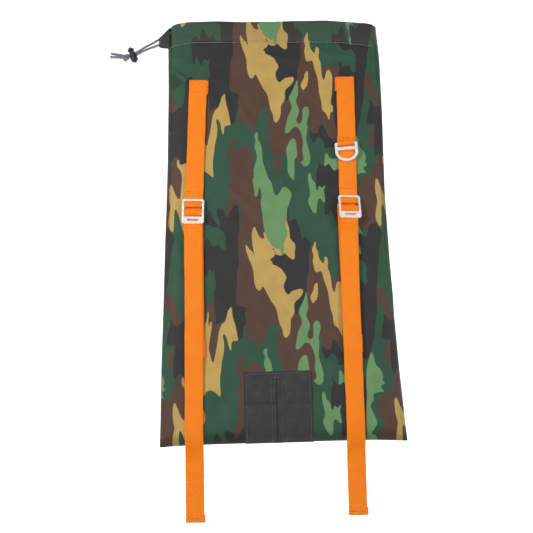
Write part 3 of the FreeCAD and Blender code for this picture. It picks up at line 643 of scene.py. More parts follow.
         (-31.7, 264.2), (-34.2, 268), (-36.2, 276.7), (-36.7, 288), (-38.3, 298), (-41.7, 308),
         (-44.2, 316.7), (-45.3, 323)],
        [(50.8, 330), (52, 328), (51.7, 321.7), (53.8, 315), (54.7, 306.7), (57.5, 301.7), (60, 299),
         (61.7, 301.7), (62, 306.7), (64.2, 308.3), (66.7, 305), (66.7, 300), (65.8, 293),
         (68.3, 285), (69.2, 275), (70, 263), (72.5, 258), (74.2, 263), (75.8, 270), (79.2, 273.7),
         (82.5, 270), (84.2, 261.7), (83.7, 248), (81.7, 231.7), (80.8, 222.5), (83.3, 219),
         (83, 211.7), (80, 210), (78.7, 205), (78, 198), (75.8, 202.5), (73.3, 209), (69.2, 213),
         (67.5, 220), (67.5, 226.7), (65, 238), (64.2, 251.7), (63.3, 261.7), (59.2, 276.7),
         (57.5, 286.7), (54.2, 288), (50, 286.7), (47.5, 290), (46.7, 296.7), (45.8, 303),
         (47.5, 310), (45.8, 318), (48.3, 325)],
        [(49.2, 272.5), (50.3, 270), (49.7, 258), (47.5, 249), (45.8, 248), (42.5, 243.8),
         (40, 247.5), (39.2, 253), (41.7, 258), (44.2, 262.5), (44.7, 266.7), (47, 270.8)],
        [(-68.7, 243), (-68, 233), (-66.7, 225), (-64.2, 215), (-62.5, 203), (-61.7, 196),
         (-68.3, 195), (-70.8, 191.7), (-71.3, 183), (-72.5, 182), (-74.2, 187), (-76, 197),
         (-78.3, 203.5), (-80.8, 205), (-81.7, 201), (-80.3, 191), (-81.7, 178), (-84.2, 168),
         (-85.3, 158), (-87.2, 147), (-87.5, 133), (-87.2, 119.5), (-89.2, 121), (-93.3, 125),
         (-97.5, 128.3), (-101.5, 129.3), (-106, 127), (-110, 122), (-112, 140), (-110, 170),
         (-108, 200), (-106, 216), (-103, 225), (-101, 236.5), (-100, 233), (-101, 217.5),
         (-99.7, 215.5), (-98.2, 222), (-96, 222), (-96.5, 213), (-99, 200), (-101, 186),
         (-99.3, 177), (-96.2, 165), (-93.3, 175), (-90, 190), (-87, 207), (-83, 218), (-79, 221),
         (-76, 228), (-73.5, 237), (-71, 240)],
        [(-136.7, 148), (-134.7, 146), (-134.7, 141.7), (-130.8, 139.7), (-126, 142), (-118, 140),
         (-112, 134), (-113, 118), (-111, 105), (-108.5, 97), (-109, 87), (-114, 78), (-118, 60),
         (-122, 45), (-128, 38), (-130, 42), (-134.2, 58), (-138.3, 72), (-140.3, 76.5),
         (-142.5, 73), (-143.3, 58), (-145, 44), (-150.3, 51.7), (-151.7, 60), (-150.3, 70),
         (-148.3, 80), (-150.3, 93), (-150, 107), (-148, 113.5), (-145, 109), (-141.7, 100),
         (-138.3, 92.5), (-135.8, 90.5), (-133.7, 93.5), (-133, 102), (-131.5, 115), (-131.2, 123),
         (-133.3, 131), (-137.5, 137.5), (-137.7, 145)],
    ],
    "light": [
        [(-25.8, 183.7), (-23.7, 182.5), (-23.3, 173), (-20, 166.7), (-18.3, 158), (-17.8, 141.7),
         (-15, 131.7), (-10.8, 118), (-6.7, 111.7), (-4.2, 100), (-2.5, 94), (0.3, 91.7),
         (5, 96.7), (8.3, 102.5), (11.7, 104), (16.7, 100.8), (20.8, 95), (20, 86.7), (16.7, 78),
         (14.7, 73), (14.2, 66.7), (13.3, 58), (11.3, 56.7), (11.7, 46.7), (13.3, 41), (12.5, 33),
         (8.3, 25), (7.5, 18), (6.3, 10), (4.2, 7), (3, 10), (2.5, 15), (-3.3, 16.7), (-10, 22.5),
         (-13.3, 28), (-16.7, 35), (-19.2, 50), (-20.3, 66.7), (-22, 80), (-20.8, 91.7),
         (-21.7, 101.7), (-23.3, 105.3), (-24.5, 100), (-26.3, 93), (-28.7, 90.5), (-30.3, 93),
         (-30.8, 103), (-32.5, 113), (-30.3, 123), (-30.8, 130), (-27.5, 140), (-25.8, 148),
         (-26.7, 155), (-28.7, 163), (-26.7, 173), (-28.7, 179)],
        [(34.7, 259), (34.7, 248), (35, 238), (31.7, 228), (35.3, 216.7), (35, 210), (31.7, 202.5),
         (31.7, 197.5), (35, 194.7), (38.8, 197.5), (40, 206.7), (40.5, 215), (43.3, 219),
         (45.8, 220.3), (48.7, 217.5), (50, 211.7), (47.5, 201.7), (45.8, 195), (46.7, 190),
         (45, 178), (45, 168), (47.5, 156.7), (49.2, 145), (47.5, 136.7), (44.2, 133), (40, 133.3),
         (36.7, 136.7), (35.3, 139), (39.7, 143), (38.3, 155), (39.7, 166.7), (38.3, 178),
         (34.2, 187.5), (30.3, 190.5), (25.8, 188.7), (21.7, 184), (17.5, 181.3), (14.7, 183),
         (15.8, 190), (17.5, 198), (20, 206.7), (25, 216.7), (24.2, 225), (21.7, 233), (26.7, 243),
         (30.8, 251.7), (33, 257.5)],
        [(25.8, 173.8), (29.2, 170.8), (30.3, 160), (30.8, 148), (27, 142.5), (26.7, 130),
         (25.8, 120), (25, 113.8), (22.5, 115), (19.2, 120), (16.7, 128), (17.2, 140), (16.3, 150),
         (15.8, 156.7), (18.3, 165), (21.7, 170.8)],
        [(47.2, 123.8), (49.2, 120), (50.8, 113), (55, 107.5), (55.8, 100), (57.5, 97.5),
         (58.7, 101.7), (60.8, 104), (63.3, 101.7), (65.8, 101.7), (67, 105), (68.8, 103.7),
         (66.7, 98), (67, 90), (67.8, 81.7), (66.3, 79.7), (63.3, 83), (60, 86.3), (56.7, 80.8),
         (55.8, 70), (54.2, 65), (52, 65), (48.3, 70), (44.2, 80), (44.2, 85), (46.7, 90.8),
         (46.7, 100), (45.3, 108), (44.7, 118)],
        [(107, 352), (112, 352), (115, 345), (118.5, 337.5), (113, 341), (110.8, 337), (111.7, 328),
         (113.3, 312), (112.2, 310), (110.3, 313.5), (110.3, 325), (108.3, 335), (106, 343)],
        [(115, 175), (117.5, 168), (119.2, 158), (124.2, 151.7), (126.7, 145), (127, 140),
         (125.3, 136.7), (128.3, 132.5), (125.5, 130), (122.5, 127.5), (126.7, 120.3), (121, 121),
         (114.5, 119.5), (111.5, 116), (112, 111), (109, 107), (107, 101), (110.5, 91),
         (113.5, 81), (112, 76), (107, 69), (105, 65), (109, 64), (112, 61), (112, 52), (106, 44),
         (98, 48), (99, 62), (99.5, 80), (101.5, 100), (103.5, 117), (104, 133), (106, 150),
         (110, 165)],
        [(71.3, 151.7), (73.3, 150), (75.8, 145), (80, 142.5), (83.3, 143.3), (95, 141), (95, 130),
         (85.3, 127.5), (81.7, 125.8), (78.3, 130), (75.8, 134), (73.3, 135.8), (71.7, 133),
         (68.3, 133.3), (69.2, 141.7), (69.7, 148)],
    ],
}
FAR = 4.0


def smooth_loop(points, steps=4):
    """A closed curve through the points."""
    b = np.array(points, float)
    a, c, d = np.roll(b, 1, 0), np.roll(b, -1, 0), np.roll(b, -2, 0)
    share = (np.arange(steps) / steps)[:, None, None]
    curve = 0.5 * (2 * b + (c - a) * share + (2 * a - 5 * b + 4 * c - d) * share**2
                   + (3 * b - a - 3 * c + d) * share**3)
    return curve.transpose(1, 0, 2).reshape(-1, 2)


def depth_in(loop, x, y):
    """How deep each point lies inside the loop, negative outside it."""
    nearest, inside = np.full(x.shape, FAR**2), np.zeros(x.shape, bool)
    for (x0, y0), (x1, y1) in zip(loop, np.roll(loop, -1, 0)):
        dx, dy = x1 - x0, y1 - y0
        share = np.clip(((x - x0) * dx + (y - y0) * dy) / (dx * dx + dy * dy + 1e-9), 0, 1)
        away = (x - x0 - share * dx) ** 2 + (y - y0 - share * dy) ** 2
        nearest = np.minimum(nearest, away)
        if abs(dy) > 1e-9:
            inside ^= ((y0 > y) != (y1 > y)) & (x < x0 + (y - y0) * dx / dy)
    return np.where(inside, 1, -1) * np.sqrt(nearest)


def print_layers(x, y):
    """The depth of every printed layer at points of the flat cloth."""
    drift = 0.03 * np.maximum(0, 50 - y)
    u = (x - drift) / (1 + 0.0002 * np.maximum(0, -20 - y))
    layers = {}
    for name, outlines in PRINT.items():
        depth = np.full(u.shape, -FAR)
        for outline in outlines:
            loop = smooth_loop(outline)
            for across in range(-2, 3):
                for down in range(-2, 3):
                    moved = loop + (across * REPEAT_X, down * REPEAT_Y)
                    low, high = moved.min(0) - FAR, moved.max(0) + FAR
                    near = (u > low[0]) & (u < high[0]) & (y > low[1]) & (y < high[1])
                    if near.any():
                        depth[near] = np.maximum(depth[near], depth_in(moved, u[near], y[near]))
        layers[name] = depth
    return layers


# ---------------------------------------------------------------- the sack's cloth


def cloth_grid(columns, rows):
    """A grid over the sack's plan, from the base to the mouth, as x and y."""
    across, up = np.meshgrid(np.linspace(0, 1, columns), np.linspace(0, 1, rows))
    y = -250 + 598 * up
    x = left_side(y) + (right_side(y) - left_side(y)) * across
    y = base_line(x) + (mouth_line(x) - base_line(x)) * up
    return x, y


def hem_return(x, y, height, thick, turns, inner):
    """Rows that roll round the mouth's edge, from the last row, and run back inside."""
    rows_x, rows_y, rows_z = [], [], []
    for turn in np.linspace(0, math.pi, turns + 1)[1:]:
        rows_x.append(x)
        rows_y.append(y + np.sin(turn) * thick / 2)
        rows_z.append(height - (1 - np.cos(turn)) * thick / 2)
    for share in np.linspace(0, 1, inner + 1)[1:]:
        rows_x.append(x)
        rows_y.append(y - share * (y - hem_row(x) - 1))
        rows_z.append(height - thick * (1 - 0.75 * share**4))
    return np.array(rows_x), np.array(rows_y), np.array(rows_z)


def seam_shade(x, y):
    """Shade drawn into the colour along the sides, the base and the fold beside the left strap."""
    side = np.minimum(x - left_side(y), right_side(y) - x) + 1.2 * wander(x, y, 45, 17)
    upper = step_up(y, -60, 120)
    at_side = (1 - step_up(side, 4.5, 7.5)) * (0.35 + 0.65 * upper)
    width = 20 * np.clip((281 - y) / 19, 0, 1) * step_up(y, 246, 260)
    at_side = np.maximum(at_side, (1 - step_up(x + 148 - width, -1, 2)) * 0.75 * step_up(width, 2, 7))
    at_base = (1 - step_up(y - base_line(x), 3, 17)) * 0.75
    return np.maximum(at_side, at_base)


def make_front():
    columns, rows = 168, 300
    x, y = cloth_grid(columns, rows)
    y = np.minimum(y, mouth_line(x) - 0.6)
    z = front_height(x, y)
    side = np.minimum(x - left_side(y), right_side(y) - x)
    lip = np.clip((y - mouth_line(x) + 8) / 8, 0, 1)
    z = z - 1.1 * lip**2 * rise(side, 10)
    thick = 0.4 + 3.4 * rise(side[-1], 14)
    extra = hem_return(x[-1], y[-1], z[-1], thick, 6, 8)
    flat_x, flat_y = np.vstack([x, extra[0]]), np.vstack([y, extra[1]])
    points = np.stack([flat_x, flat_y, np.vstack([z, extra[2]])], -1).reshape(-1, 3)
    layers = print_layers(flat_x.ravel(), flat_y.ravel())
    layers["dull"] = step_up(flat_y - hem_row(flat_x), 0, 2).ravel()
    layers["shade"] = seam_shade(flat_x, flat_y).ravel()
    uv = np.stack([flat_x.ravel(), flat_y.ravel()], 1)
    front = new_piece("front_cloth", points, grid_faces(len(flat_x), columns), "camo_cloth", uv, layers)
    shell(front, 0.35)
    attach(front, "root")
    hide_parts("front_panel", "front_hem")


def make_back():
    """The lower cloth: flat on the surface, its edges turned up to the seam with the front."""
    columns, rows = 120, 220
    x, y = cloth_grid(columns, rows)
    y = np.minimum(y, mouth_line(x) - 0.6)
    side = np.minimum(x - left_side(y), right_side(y) - x)
    end = y - base_line(x)
    lift = (1 - rise(side, 9) * rise(end, 9)) * (EDGE_Z - 0.45)
    z = 0.12 + lift + 0.28 * (1 + wander(x, y, 60, 21)) * rise(side, 30) * rise(end, 30)
    near_row = np.exp(-(((y - hem_row(x)) / 2.0) ** 2))
    z = np.maximum(z + 0.3 * near_row, 0.05)
    thick = 0.4 + 3.2 * rise(side[-1], 14)
    extra = hem_return(x[-1], y[-1], z[-1], -thick, 6, 8)
    flat_x, flat_y = np.vstack([x, extra[0]]), np.vstack([y, extra[1]])
    points = np.stack([flat_x, flat_y, np.vstack([z, extra[2]])], -1).reshape(-1, 3)
    layers = print_layers(flat_x.ravel() * -1 + 60, flat_y.ravel() + 130)
    layers["dull"] = step_up(flat_y - hem_row(flat_x), 0, 2).ravel()
    layers["shade"] = seam_shade(flat_x, flat_y).ravel()
    uv = np.stack([-flat_x.ravel(), flat_y.ravel()], 1)
    faces = grid_faces(len(flat_x), columns)[:, ::-1]
    back = new_piece("back_cloth", points, faces, "camo_cloth", uv, layers)
    shell(back, 0.35)
    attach(back, "root")
    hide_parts("back_panel", "back_hem")


def shell(piece, thick):
    """Gives a sheet its thickness, inwards from the face that shows."""
    solid = piece.modifiers.new("thickness", "SOLIDIFY")
    solid.thickness, solid.offset = thick * MM, -1


# ---------------------------------------------------------------- stitching


def stitch_rows(name, rows, body, nodes, long=2.9, space=1.1, radius=0.42, paint="thread"):
    """Sewn stitches: short bulged threads laid end to end along lines of 3D points."""
    ring, beads = 8, 7
    points, faces, uv = [], [], []
    for row in rows:
        line = even(np.array(row, float), 0.4)
        run = np.concatenate([[0], np.cumsum(np.linalg.norm(np.diff(line, axis=0), axis=1))])
        for number in range(int(run[-1] / (long + space))):
            at = number * (long + space) + np.linspace(0, long, beads)
            centre = np.stack([np.interp(at, run, line[:, i]) for i in range(3)], 1)
            ahead = centre[-1] - centre[0]
            ahead /= np.linalg.norm(ahead) + 1e-9
            side = np.cross(ahead, (0, 0, 1))
            side /= np.linalg.norm(side) + 1e-9
            up = np.cross(side, ahead)
            swell = np.sin(np.linspace(0.12, math.pi - 0.12, beads)) ** 0.5
            centre = centre + up * (radius * 0.9 * swell - radius * 0.6)[:, None]
            angle = np.linspace(0, 2 * math.pi, ring, endpoint=False)
            around = np.cos(angle)[:, None] * side + np.sin(angle)[:, None] * up
            body_points = centre[:, None] + around[None] * (radius * swell)[:, None, None]
            first = sum(len(p) for p in points)
            points.append(body_points.reshape(-1, 3))
            faces += [[first + i for i in face] for face in tube_faces(beads, ring)]
            uv.append(np.stack(np.broadcast_arrays(at[:, None], angle[None] * radius), -1).reshape(-1, 2))
    piece = new_piece(name, np.vstack(points), faces_of(faces), paint, np.vstack(uv))
    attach(piece, body)
    if nodes:
        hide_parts(*nodes)
    return piece


def faces_of(faces):
    """Faces with different numbers of corners, kept as they are."""
    kept = np.empty(len(faces), object)
    kept[:] = faces
    return kept


def on_front(plan):
    """A line drawn in the plan, laid on the front cloth."""
    lift = 0.32
    line = even(np.array(plan, float), 1.0)
    return np.column_stack([line, front_height(line[:, 0], line[:, 1]) + lift])


def make_hem_stitching():
    x = np.linspace(-147, 147, 150)
    row = on_front(np.column_stack([x, hem_row(x)]))
    stitch_rows("hem_stitches", [row], "root", ["hem_stitching"])


# ---------------------------------------------------------------- the slit patch

PATCH = {"left": -51.5, "right": 41.0, "top": -152.5, "slit": -7.3, "lip": 5.6}


def patch_height(x, y):
    """The patch lies on the front cloth, with one crease across it and soft edges."""
    crease = -0.6 * np.exp(-(((y + 197) / 1.6) ** 2)) + 0.35 * np.exp(-(((y + 192) / 4) ** 2))
    swell = 0.3 * wander(x, y, 34, 12)
    return front_height(x, y) + 1.15 + (crease + swell) * step_up(y, -246, -236)


def make_patch():
    columns, rows = 60, 70
    x, up = np.meshgrid(np.linspace(PATCH["left"], PATCH["right"], columns), np.linspace(0, 1, rows))
    near = base_line(x) - 0.6
    y = near + (PATCH["top"] - near) * up
    edge = np.minimum(np.minimum(x - PATCH["left"], PATCH["right"] - x), PATCH["top"] - y)
    seam = 0.35 * np.exp(-(((edge - 3) / 1.0) ** 2))
    z = patch_height(x, y) - 0.85 * (1 - rise(edge, 1.6)) - seam
    z = z + 0.15 * wander(x, y, 9, 14) * np.exp(-edge / 5)
    slit = np.abs(x - PATCH["slit"])
    z = z - 0.45 * (1 - step_up(slit, 0.5, 2.4)) * step_up(-y, 160, 164)
    points = np.stack([x, y, z], -1).reshape(-1, 3)
    uv = np.stack([x.ravel(), y.ravel()], 1)
    patch = new_piece("slit_patch_cloth", points, grid_faces(rows, columns), "black_cloth", uv)
    shell(patch, 0.6)
    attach(patch, "root")
    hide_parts("slit_patch")


def make_lips():
    """Two narrow folded bindings whose rolled edges meet along the slit."""
    for side, sign in (("left", -1), ("right", 1)):
        columns, rows = 12, 60
        share, up = np.meshgrid(np.linspace(0, 1, columns), np.linspace(0, 1, rows))
        near = base_line(0) - 0.9
        y = near + (-162.5 - near) * up
        away = 0.35 + PATCH["lip"] * share + 0.25 * wander(share * 3, y, 21, 30 + sign)
        x = PATCH["slit"] + sign * away
        fold = np.sqrt(np.clip(1 - (1 - np.clip(share / 0.22, 0, 1)) ** 2, 0, 1))
        tuck = 1 - 0.5 * step_up(share, 0.8, 1)
        z = patch_height(x, y) - 0.55 + 1.35 * fold * tuck + 0.1 * wander(x, y, 12, 33)
        points = np.stack([x, y, z], -1).reshape(-1, 3)
        uv = np.stack([x.ravel(), y.ravel()], 1)
        faces = grid_faces(rows, columns)
        lip = new_piece(f"slit_lip_{side}_cloth", points, faces if sign > 0 else faces[:, ::-1],
                        "black_cloth", uv)
        shell(lip, 0.5)
        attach(lip, "root")
        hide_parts(f"slit_lip_{side}")


def round_corners(corners, radius):
    """A line through the corners in the plan, its corners cut by arcs of the radius."""
    line = [np.array(corners[0], float)]
    for before, corner, after in zip(corners, corners[1:], corners[2:]):
        before, corner, after = (np.array(p, float) for p in (before, corner, after))
        back = (before - corner) / np.linalg.norm(before - corner)
        ahead = (after - corner) / np.linalg.norm(after - corner)
        centre = corner + (back + ahead) * radius
        for turn in np.linspace(0, math.pi / 2, 7):
            line.append(centre - ahead * radius * math.cos(turn) - back * radius * math.sin(turn))
    return line + [np.array(corners[-1], float)]


def make_patch_stitching():
    left, right, top = PATCH["left"] + 3, PATCH["right"] - 3, PATCH["top"] - 3
    base = -246.5
    slit = PATCH["slit"]
    plans = [
        round_corners([(left, base), (left, top), (right, top), (right, base)], 4.5),
        round_corners([(slit - 6.4, base), (slit - 7.4, -161), (slit + 6.4, -161), (slit + 6.2, base)], 1.5),
    ]
    rows = []
    for plan in plans:
        line = even(np.array(plan), 1.0)
        rows.append(np.column_stack([line, patch_height(line[:, 0], line[:, 1]) + 0.05]))
    stitch_rows("patch_stitches", rows, "root", ["patch_stitching"], paint="dark_thread")


# ---------------------------------------------------------------- webbing

WEB, THICK = 25.0, 1.4


class Spot:
    """A place in the frame that a strip is drawn from: its own Y runs along the webbing."""

    def __init__(self, x, y, z=0.0, turn=0.0, roll=0.0, tilt=0.0):
        turns = [math.radians(a) for a in (turn, roll, tilt)]
        spin = (Matrix.Rotation(turns[0], 3, "Z") @ Matrix.Rotation(turns[1], 3, "Y")
                @ Matrix.Rotation(turns[2], 3, "X"))
        self.spin, self.at = np.array(spin), np.array([x, y, z])

    def out(self, points):
        return np.asarray(points, float) @ self.spin.T + self.at

    def metres(self, point):
        return tuple(self.out(point) * MM)


def ribbon(name, spot, profile, body=None, width=WEB, closed=False, sway=0.0, *, seed):
    """Webbing along a side profile of (y, z) points, with rounded, finely scalloped edges.

    sway is a sideways offset, or a function that gives it for the distance along the strip.
    """
    line = spline(profile, 0.8)
    if closed:
        line = line[:-1]
    run = np.concatenate([[0], np.cumsum(np.linalg.norm(np.diff(line, axis=0), axis=1))])
    slope = np.roll(line, -1, 0) - np.roll(line, 1, 0) if closed else np.gradient(line, axis=0)
    slope /= np.linalg.norm(slope, axis=1)[:, None]
    normal = np.stack([-slope[:, 1], slope[:, 0]], 1)
    if line[-1, 0] < line[0, 0] and not closed:
        normal = -normal
    flat = [(-1, 0.0), (-0.985, 0.36), (-0.955, 0.5), (-0.7, 0.5), (-0.35, 0.5), (0, 0.5), (0.35, 0.5),
            (0.7, 0.5), (0.955, 0.5), (0.985, 0.36)]
    section = np.array(flat + [(-a, -b) for a, b in flat])
    half = width / 2 + 0.3 * np.sin(run * 2 * math.pi / 2.4) + 0.18 * wander(run, run * 0, 46, 40 + seed)
    shift = sway(run) if callable(sway) else np.full_like(run, sway)
    cup = 0.12 * wander(run, run * 0, 60, 50 + seed)
    across = section[None, :, 0] * half[:, None]
    lift = section[None, :, 1] * THICK + cup[:, None] * (section[None, :, 0] ** 2 - 0.5)
    x = across + shift[:, None]
    y = line[:, None, 0] + normal[:, None, 0] * lift
    z = line[:, None, 1] + normal[:, None, 1] * lift
    points = spot.out(np.stack([x, y, z], -1).reshape(-1, 3))
    columns = len(section)
    u = np.broadcast_to(section[None, :, 0] * width / 2, across.shape)
    uv = np.stack([u, np.broadcast_to(run[:, None], across.shape)], -1).reshape(-1, 2)
    if closed:
        faces = grid_faces(len(line), columns, wrap=True).tolist()
        last, count = (len(line) - 1) * columns, columns
        faces += [[last + i, last + (i + 1) % count, (i + 1) % count, i] for i in range(count)]
    else:
        faces = tube_faces(len(line), columns)
    if (line[-1, 0] < line[0, 0]) != closed:
        faces = [face[::-1] for face in faces]
    piece = new_piece(name, points, faces_of(faces), "webbing", uv)
    fix_normals(piece)
    if body:
        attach(piece, body)
    return piece


def fix_normals(piece):
    """Turns every face outwards."""
    made = bmesh.new()
    made.from_mesh(piece.data)
    bmesh.ops.recalc_face_normals(made, faces=made.faces)
    made.to_mesh(piece.data)
    made.free()


SACK_TOP = 14.0
STRAPS = {
    "left": {
        "anchor": Spot(-107, 241, 0, -2.8), "slider": Spot(-116.1, 71, 17.4, -2.0),
        "tail": Spot(-116.5, 50, 0, -0.6), "foot": Spot(-116.2, -108, 0, -0.4),
        "into_slider": [(-150, 15.5), (-157, 16.1)], "drop": -271.0, "end": -400.0,
        "neck": [(6, 16.3), (0, 17.1), (-6, 17.8)], "base_shift": 2.2, "sway": 0.5,
    },
    "right": {
        "anchor": Spot(102, 240, 0, -0.8), "slider": Spot(100.6, 70.4, 21.8, -1.0, 8.0, -16.0),
        "tail": Spot(98.9, 50, 0, -0.4), "foot": Spot(97.8, -107, 0, 0.4),
        "into_slider": [(-151, 15.6), (-158, 16.6)], "drop": -271.0, "end": -396.0,
        "neck": [(5, 25.0), (0, 24.2), (-6, 21.6), (-13, 19.0), (-21, 17.9)], "base_shift": -2.0,
        "sway": -0.6,
    },
}


def make_upper_strap(side, plan):
    spot = plan["anchor"]
    low = SACK_TOP + 0.3 + THICK / 2
    top = SACK_TOP + 1.5 * THICK + 0.1
    profile = [(21, top - 0.2), (12, top), (4, top), (-4, low + 0.4), (-12, low), (-60, low + 0.1),
               (-100, low), (-138, low + 0.1), *plan["into_slider"]]
    strap = ribbon(f"{side}_upper_webbing", spot, profile, seed=1)
    spot.metres((0, 2, low))
    spot.metres((0, -9, low))
    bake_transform(strap)
    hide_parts(f"{side}_strap_upper")
    under = [(20.6, SACK_TOP + 0.75), (10, SACK_TOP + 0.75), (0.6, SACK_TOP + 0.7)]
    fold = ribbon(f"{side}_top_anchor_webbing", spot, under, "root", sway=plan["base_shift"], seed=2)
    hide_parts(f"{side}_top_anchor")
    rows = []
    for y in (3.0, 18.0):
        rows.append(spot.out([(-10.6, y, top + THICK / 2), (10.6, y, top + THICK / 2)]))
    stitch_rows(f"{side}_anchor_stitches", rows, "root", [f"{side}_anchor_stitching"], 2.2, 0.8, 0.3,
                "orange_thread")
    sewn = spot.out([(-10.6, -141.5, low + THICK / 2 + 0.1), (10.6, -141.9, low + THICK / 2 + 0.1)])
    stitch_rows(f"{side}_strap_stitches", [sewn], f"{side}_strap", [f"{side}_strap_stitching"],
                2.2, 0.8, 0.34, "plum_thread")


def make_lower_strap(side, plan):
    spot = plan["foot"]
    low = SACK_TOP + THICK / 2
    profile = [(-0.4, low), (20, low), (80, low), (150, low), (184, low + 0.2)]
    strap = ribbon(f"{side}_lower_webbing", spot, profile, seed=3)
    spot.metres((0, 4, low))
    spot.metres((0, 160, low))
    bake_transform(strap)
    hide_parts(f"{side}_strap_lower")
    fold = [(-1.0, low), (-11, low), (-21, low), (-22.6, low + 0.7), (-21, low + THICK + 0.05),
            (-11, low + THICK + 0.1), (-0.2, low + THICK + 0.05)]
    piece = ribbon(f"{side}_bottom_anchor_webbing", spot, fold, "root", sway=0.7, seed=4)
    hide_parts(f"{side}_bottom_anchor")


def roll_profile(centre, half_y, half_z, start, stop, steps):
    """Points round a flattened roll, from one angle to another."""
    turns = np.radians(np.linspace(start, stop, steps))
    return [(centre + half_y * math.cos(a), 0.4 + half_z * math.sin(a)) for a in turns]


def make_slider_webbing(side, plan):
    """The upper strap's sewn loop round one bar, and the free webbing over the grip bar."""
    spot = plan["slider"]
    ring = roll_profile(9.8, 3.5, 1.95, -90, 270, 25)
    loop = ribbon(f"{side}_loop_webbing", spot, ring, f"{side}_slider", WEB - 1.2, closed=True, seed=5)
    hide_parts(f"{side}_slider_loop")
    over = [(1.9, -1.7)] + roll_profile(-1.7, 3.5, 1.95, -12, 172, 12)
    over += [(-6.1, -0.9), (-8.8, -1.35), (-13, -1.4), (-17.4, -1.4)]
    wrap = ribbon(f"{side}_wrap_webbing", spot, over, f"{side}_slider", WEB - 1.2, seed=6)
    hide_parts(f"{side}_slider_wrap")


def make_tail(side, plan):
    """The free end: out under the slider, down the sack and over its edge onto the surface."""
    spot = plan["tail"]
    level = SACK_TOP + 2 * THICK + 0.3 + THICK / 2
    over = SACK_TOP + 0.3 + THICK / 2
    rest = 0.2 + THICK / 2
    drop, end = plan["drop"], plan["end"]
    profile = [*plan["neck"], (-40, level), (-90, level), (-140, level), (-179, level - 0.1),
               (-196, level - 1.6), (-208, over + 0.2), (-235, over), (drop, over),
               (drop - 18, over - 2.5), (drop - 34, over - 9), (drop - 46, rest + 1.2),
               (drop - 58, rest + 0.1), (end + 30, rest), (end, rest + 0.1)]

    def sway(run):
        return plan["sway"] * np.sin(run / 70)

    tail = ribbon(f"{side}_tail_webbing", spot, profile, sway=sway, seed=7)
    spot.metres((0, -5, level))
    spot.metres((0, -20, level))
    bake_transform(tail)
    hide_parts(f"{side}_tail_neck", f"{side}_strap_tail")
    x = plan["sway"] * math.sin(400 / 70)
    over_end = rest + THICK + 0.1
    under = [(end + 0.6, over_end), (end + 5, over_end + 0.02), (end + 10.5, over_end)]
    ribbon(f"{side}_tail_hem_webbing", spot, under, f"{side}_tail", WEB - 0.4, sway=x + 1.7, seed=8)
    height = rest + 1.5 * THICK + 0.15
    row = spot.out([(x - 10.5, end + 5, height), (x + 10.8, end + 5, height)])
    stitch_rows(f"{side}_tail_stitches", [row], f"{side}_tail", [], 2.2, 0.8, 0.34, "plum_thread")


def make_ring_tab():
    """The webbing tab folded round the ring's straight bar and sewn to the strap."""
    spot = Spot(100, 149.8, SACK_TOP + 0.3 + THICK + 2.1 + THICK - 1.5, 3.0)
    centre, middle, out = 14.25 - 3.45 / 2, 1.5, 2.1 + THICK / 2
    turns = np.radians(np.linspace(-90, 90, 10))
    curl = [(centre - out * math.cos(a), middle + out * math.sin(a)) for a in turns]
    profile = [(23, middle - out + 0.1), (18, middle - out)] + curl
    profile += [(centre + 3.2, middle + out - 1.0), (centre + 5.4, middle - out + 2 * THICK - 0.4),
                (centre + 8, middle - out + THICK + 0.1), (23.4, middle - out + THICK + 0.05)]
    tab = ribbon("d_ring_tab_webbing", spot, profile, "right_strap", 22.6, seed=9)
    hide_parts("d_ring_tab")
    height = middle - out + 1.5 * THICK + 0.1
    row = spot.out([(-9.6, 21.0, height), (9.6, 21.0, height)])
    stitch_rows("d_ring_tab_stitches", [row], "right_strap", [], 2.2, 0.8, 0.34, "plum_thread")


# ---------------------------------------------------------------- cords, spout, knot and lock

CORD = 3.0
UPPER_END = [(-162.6, 328.4, 4.9), (-171.6, 322.9, 5.2), (-183.4, 317.2, 5.3),
             (-194.2, 309.9, 5.3), (-204.9, 305.2, 5.3)]
LOWER_END = [(-160.8, 321.2, 4.7), (-170.4, 317.3, 5.1), (-182.2, 313.2, 5.3),
             (-193.0, 306.9, 5.3), (-203.7, 302.2, 5.3)]


def route_line(points):
    """The points of a smooth NURBS line with the route's points as its control points."""
    curve = bpy.data.curves.new("route", "CURVE")
    curve.dimensions = "3D"
    curve.resolution_u = 24
    line = curve.splines.new("NURBS")
    line.points.add(len(points) - 1)
    for knot, (x, y, z) in zip(line.points, points):
        knot.co = (x * MM, y * MM, z * MM, 1)
    line.order_u = 3
    line.use_endpoint_u = True
    holder = bpy.data.objects.new("route", curve)
    bpy.context.scene.collection.objects.link(holder)
    bpy.context.view_layer.update()
    drawn = bpy.data.meshes.new_from_object(holder)
    made = np.array([v.co for v in drawn.vertices]) / MM
    bpy.data.objects.remove(holder)
    bpy.data.curves.remove(curve)
    bpy.data.meshes.remove(drawn)
    return made


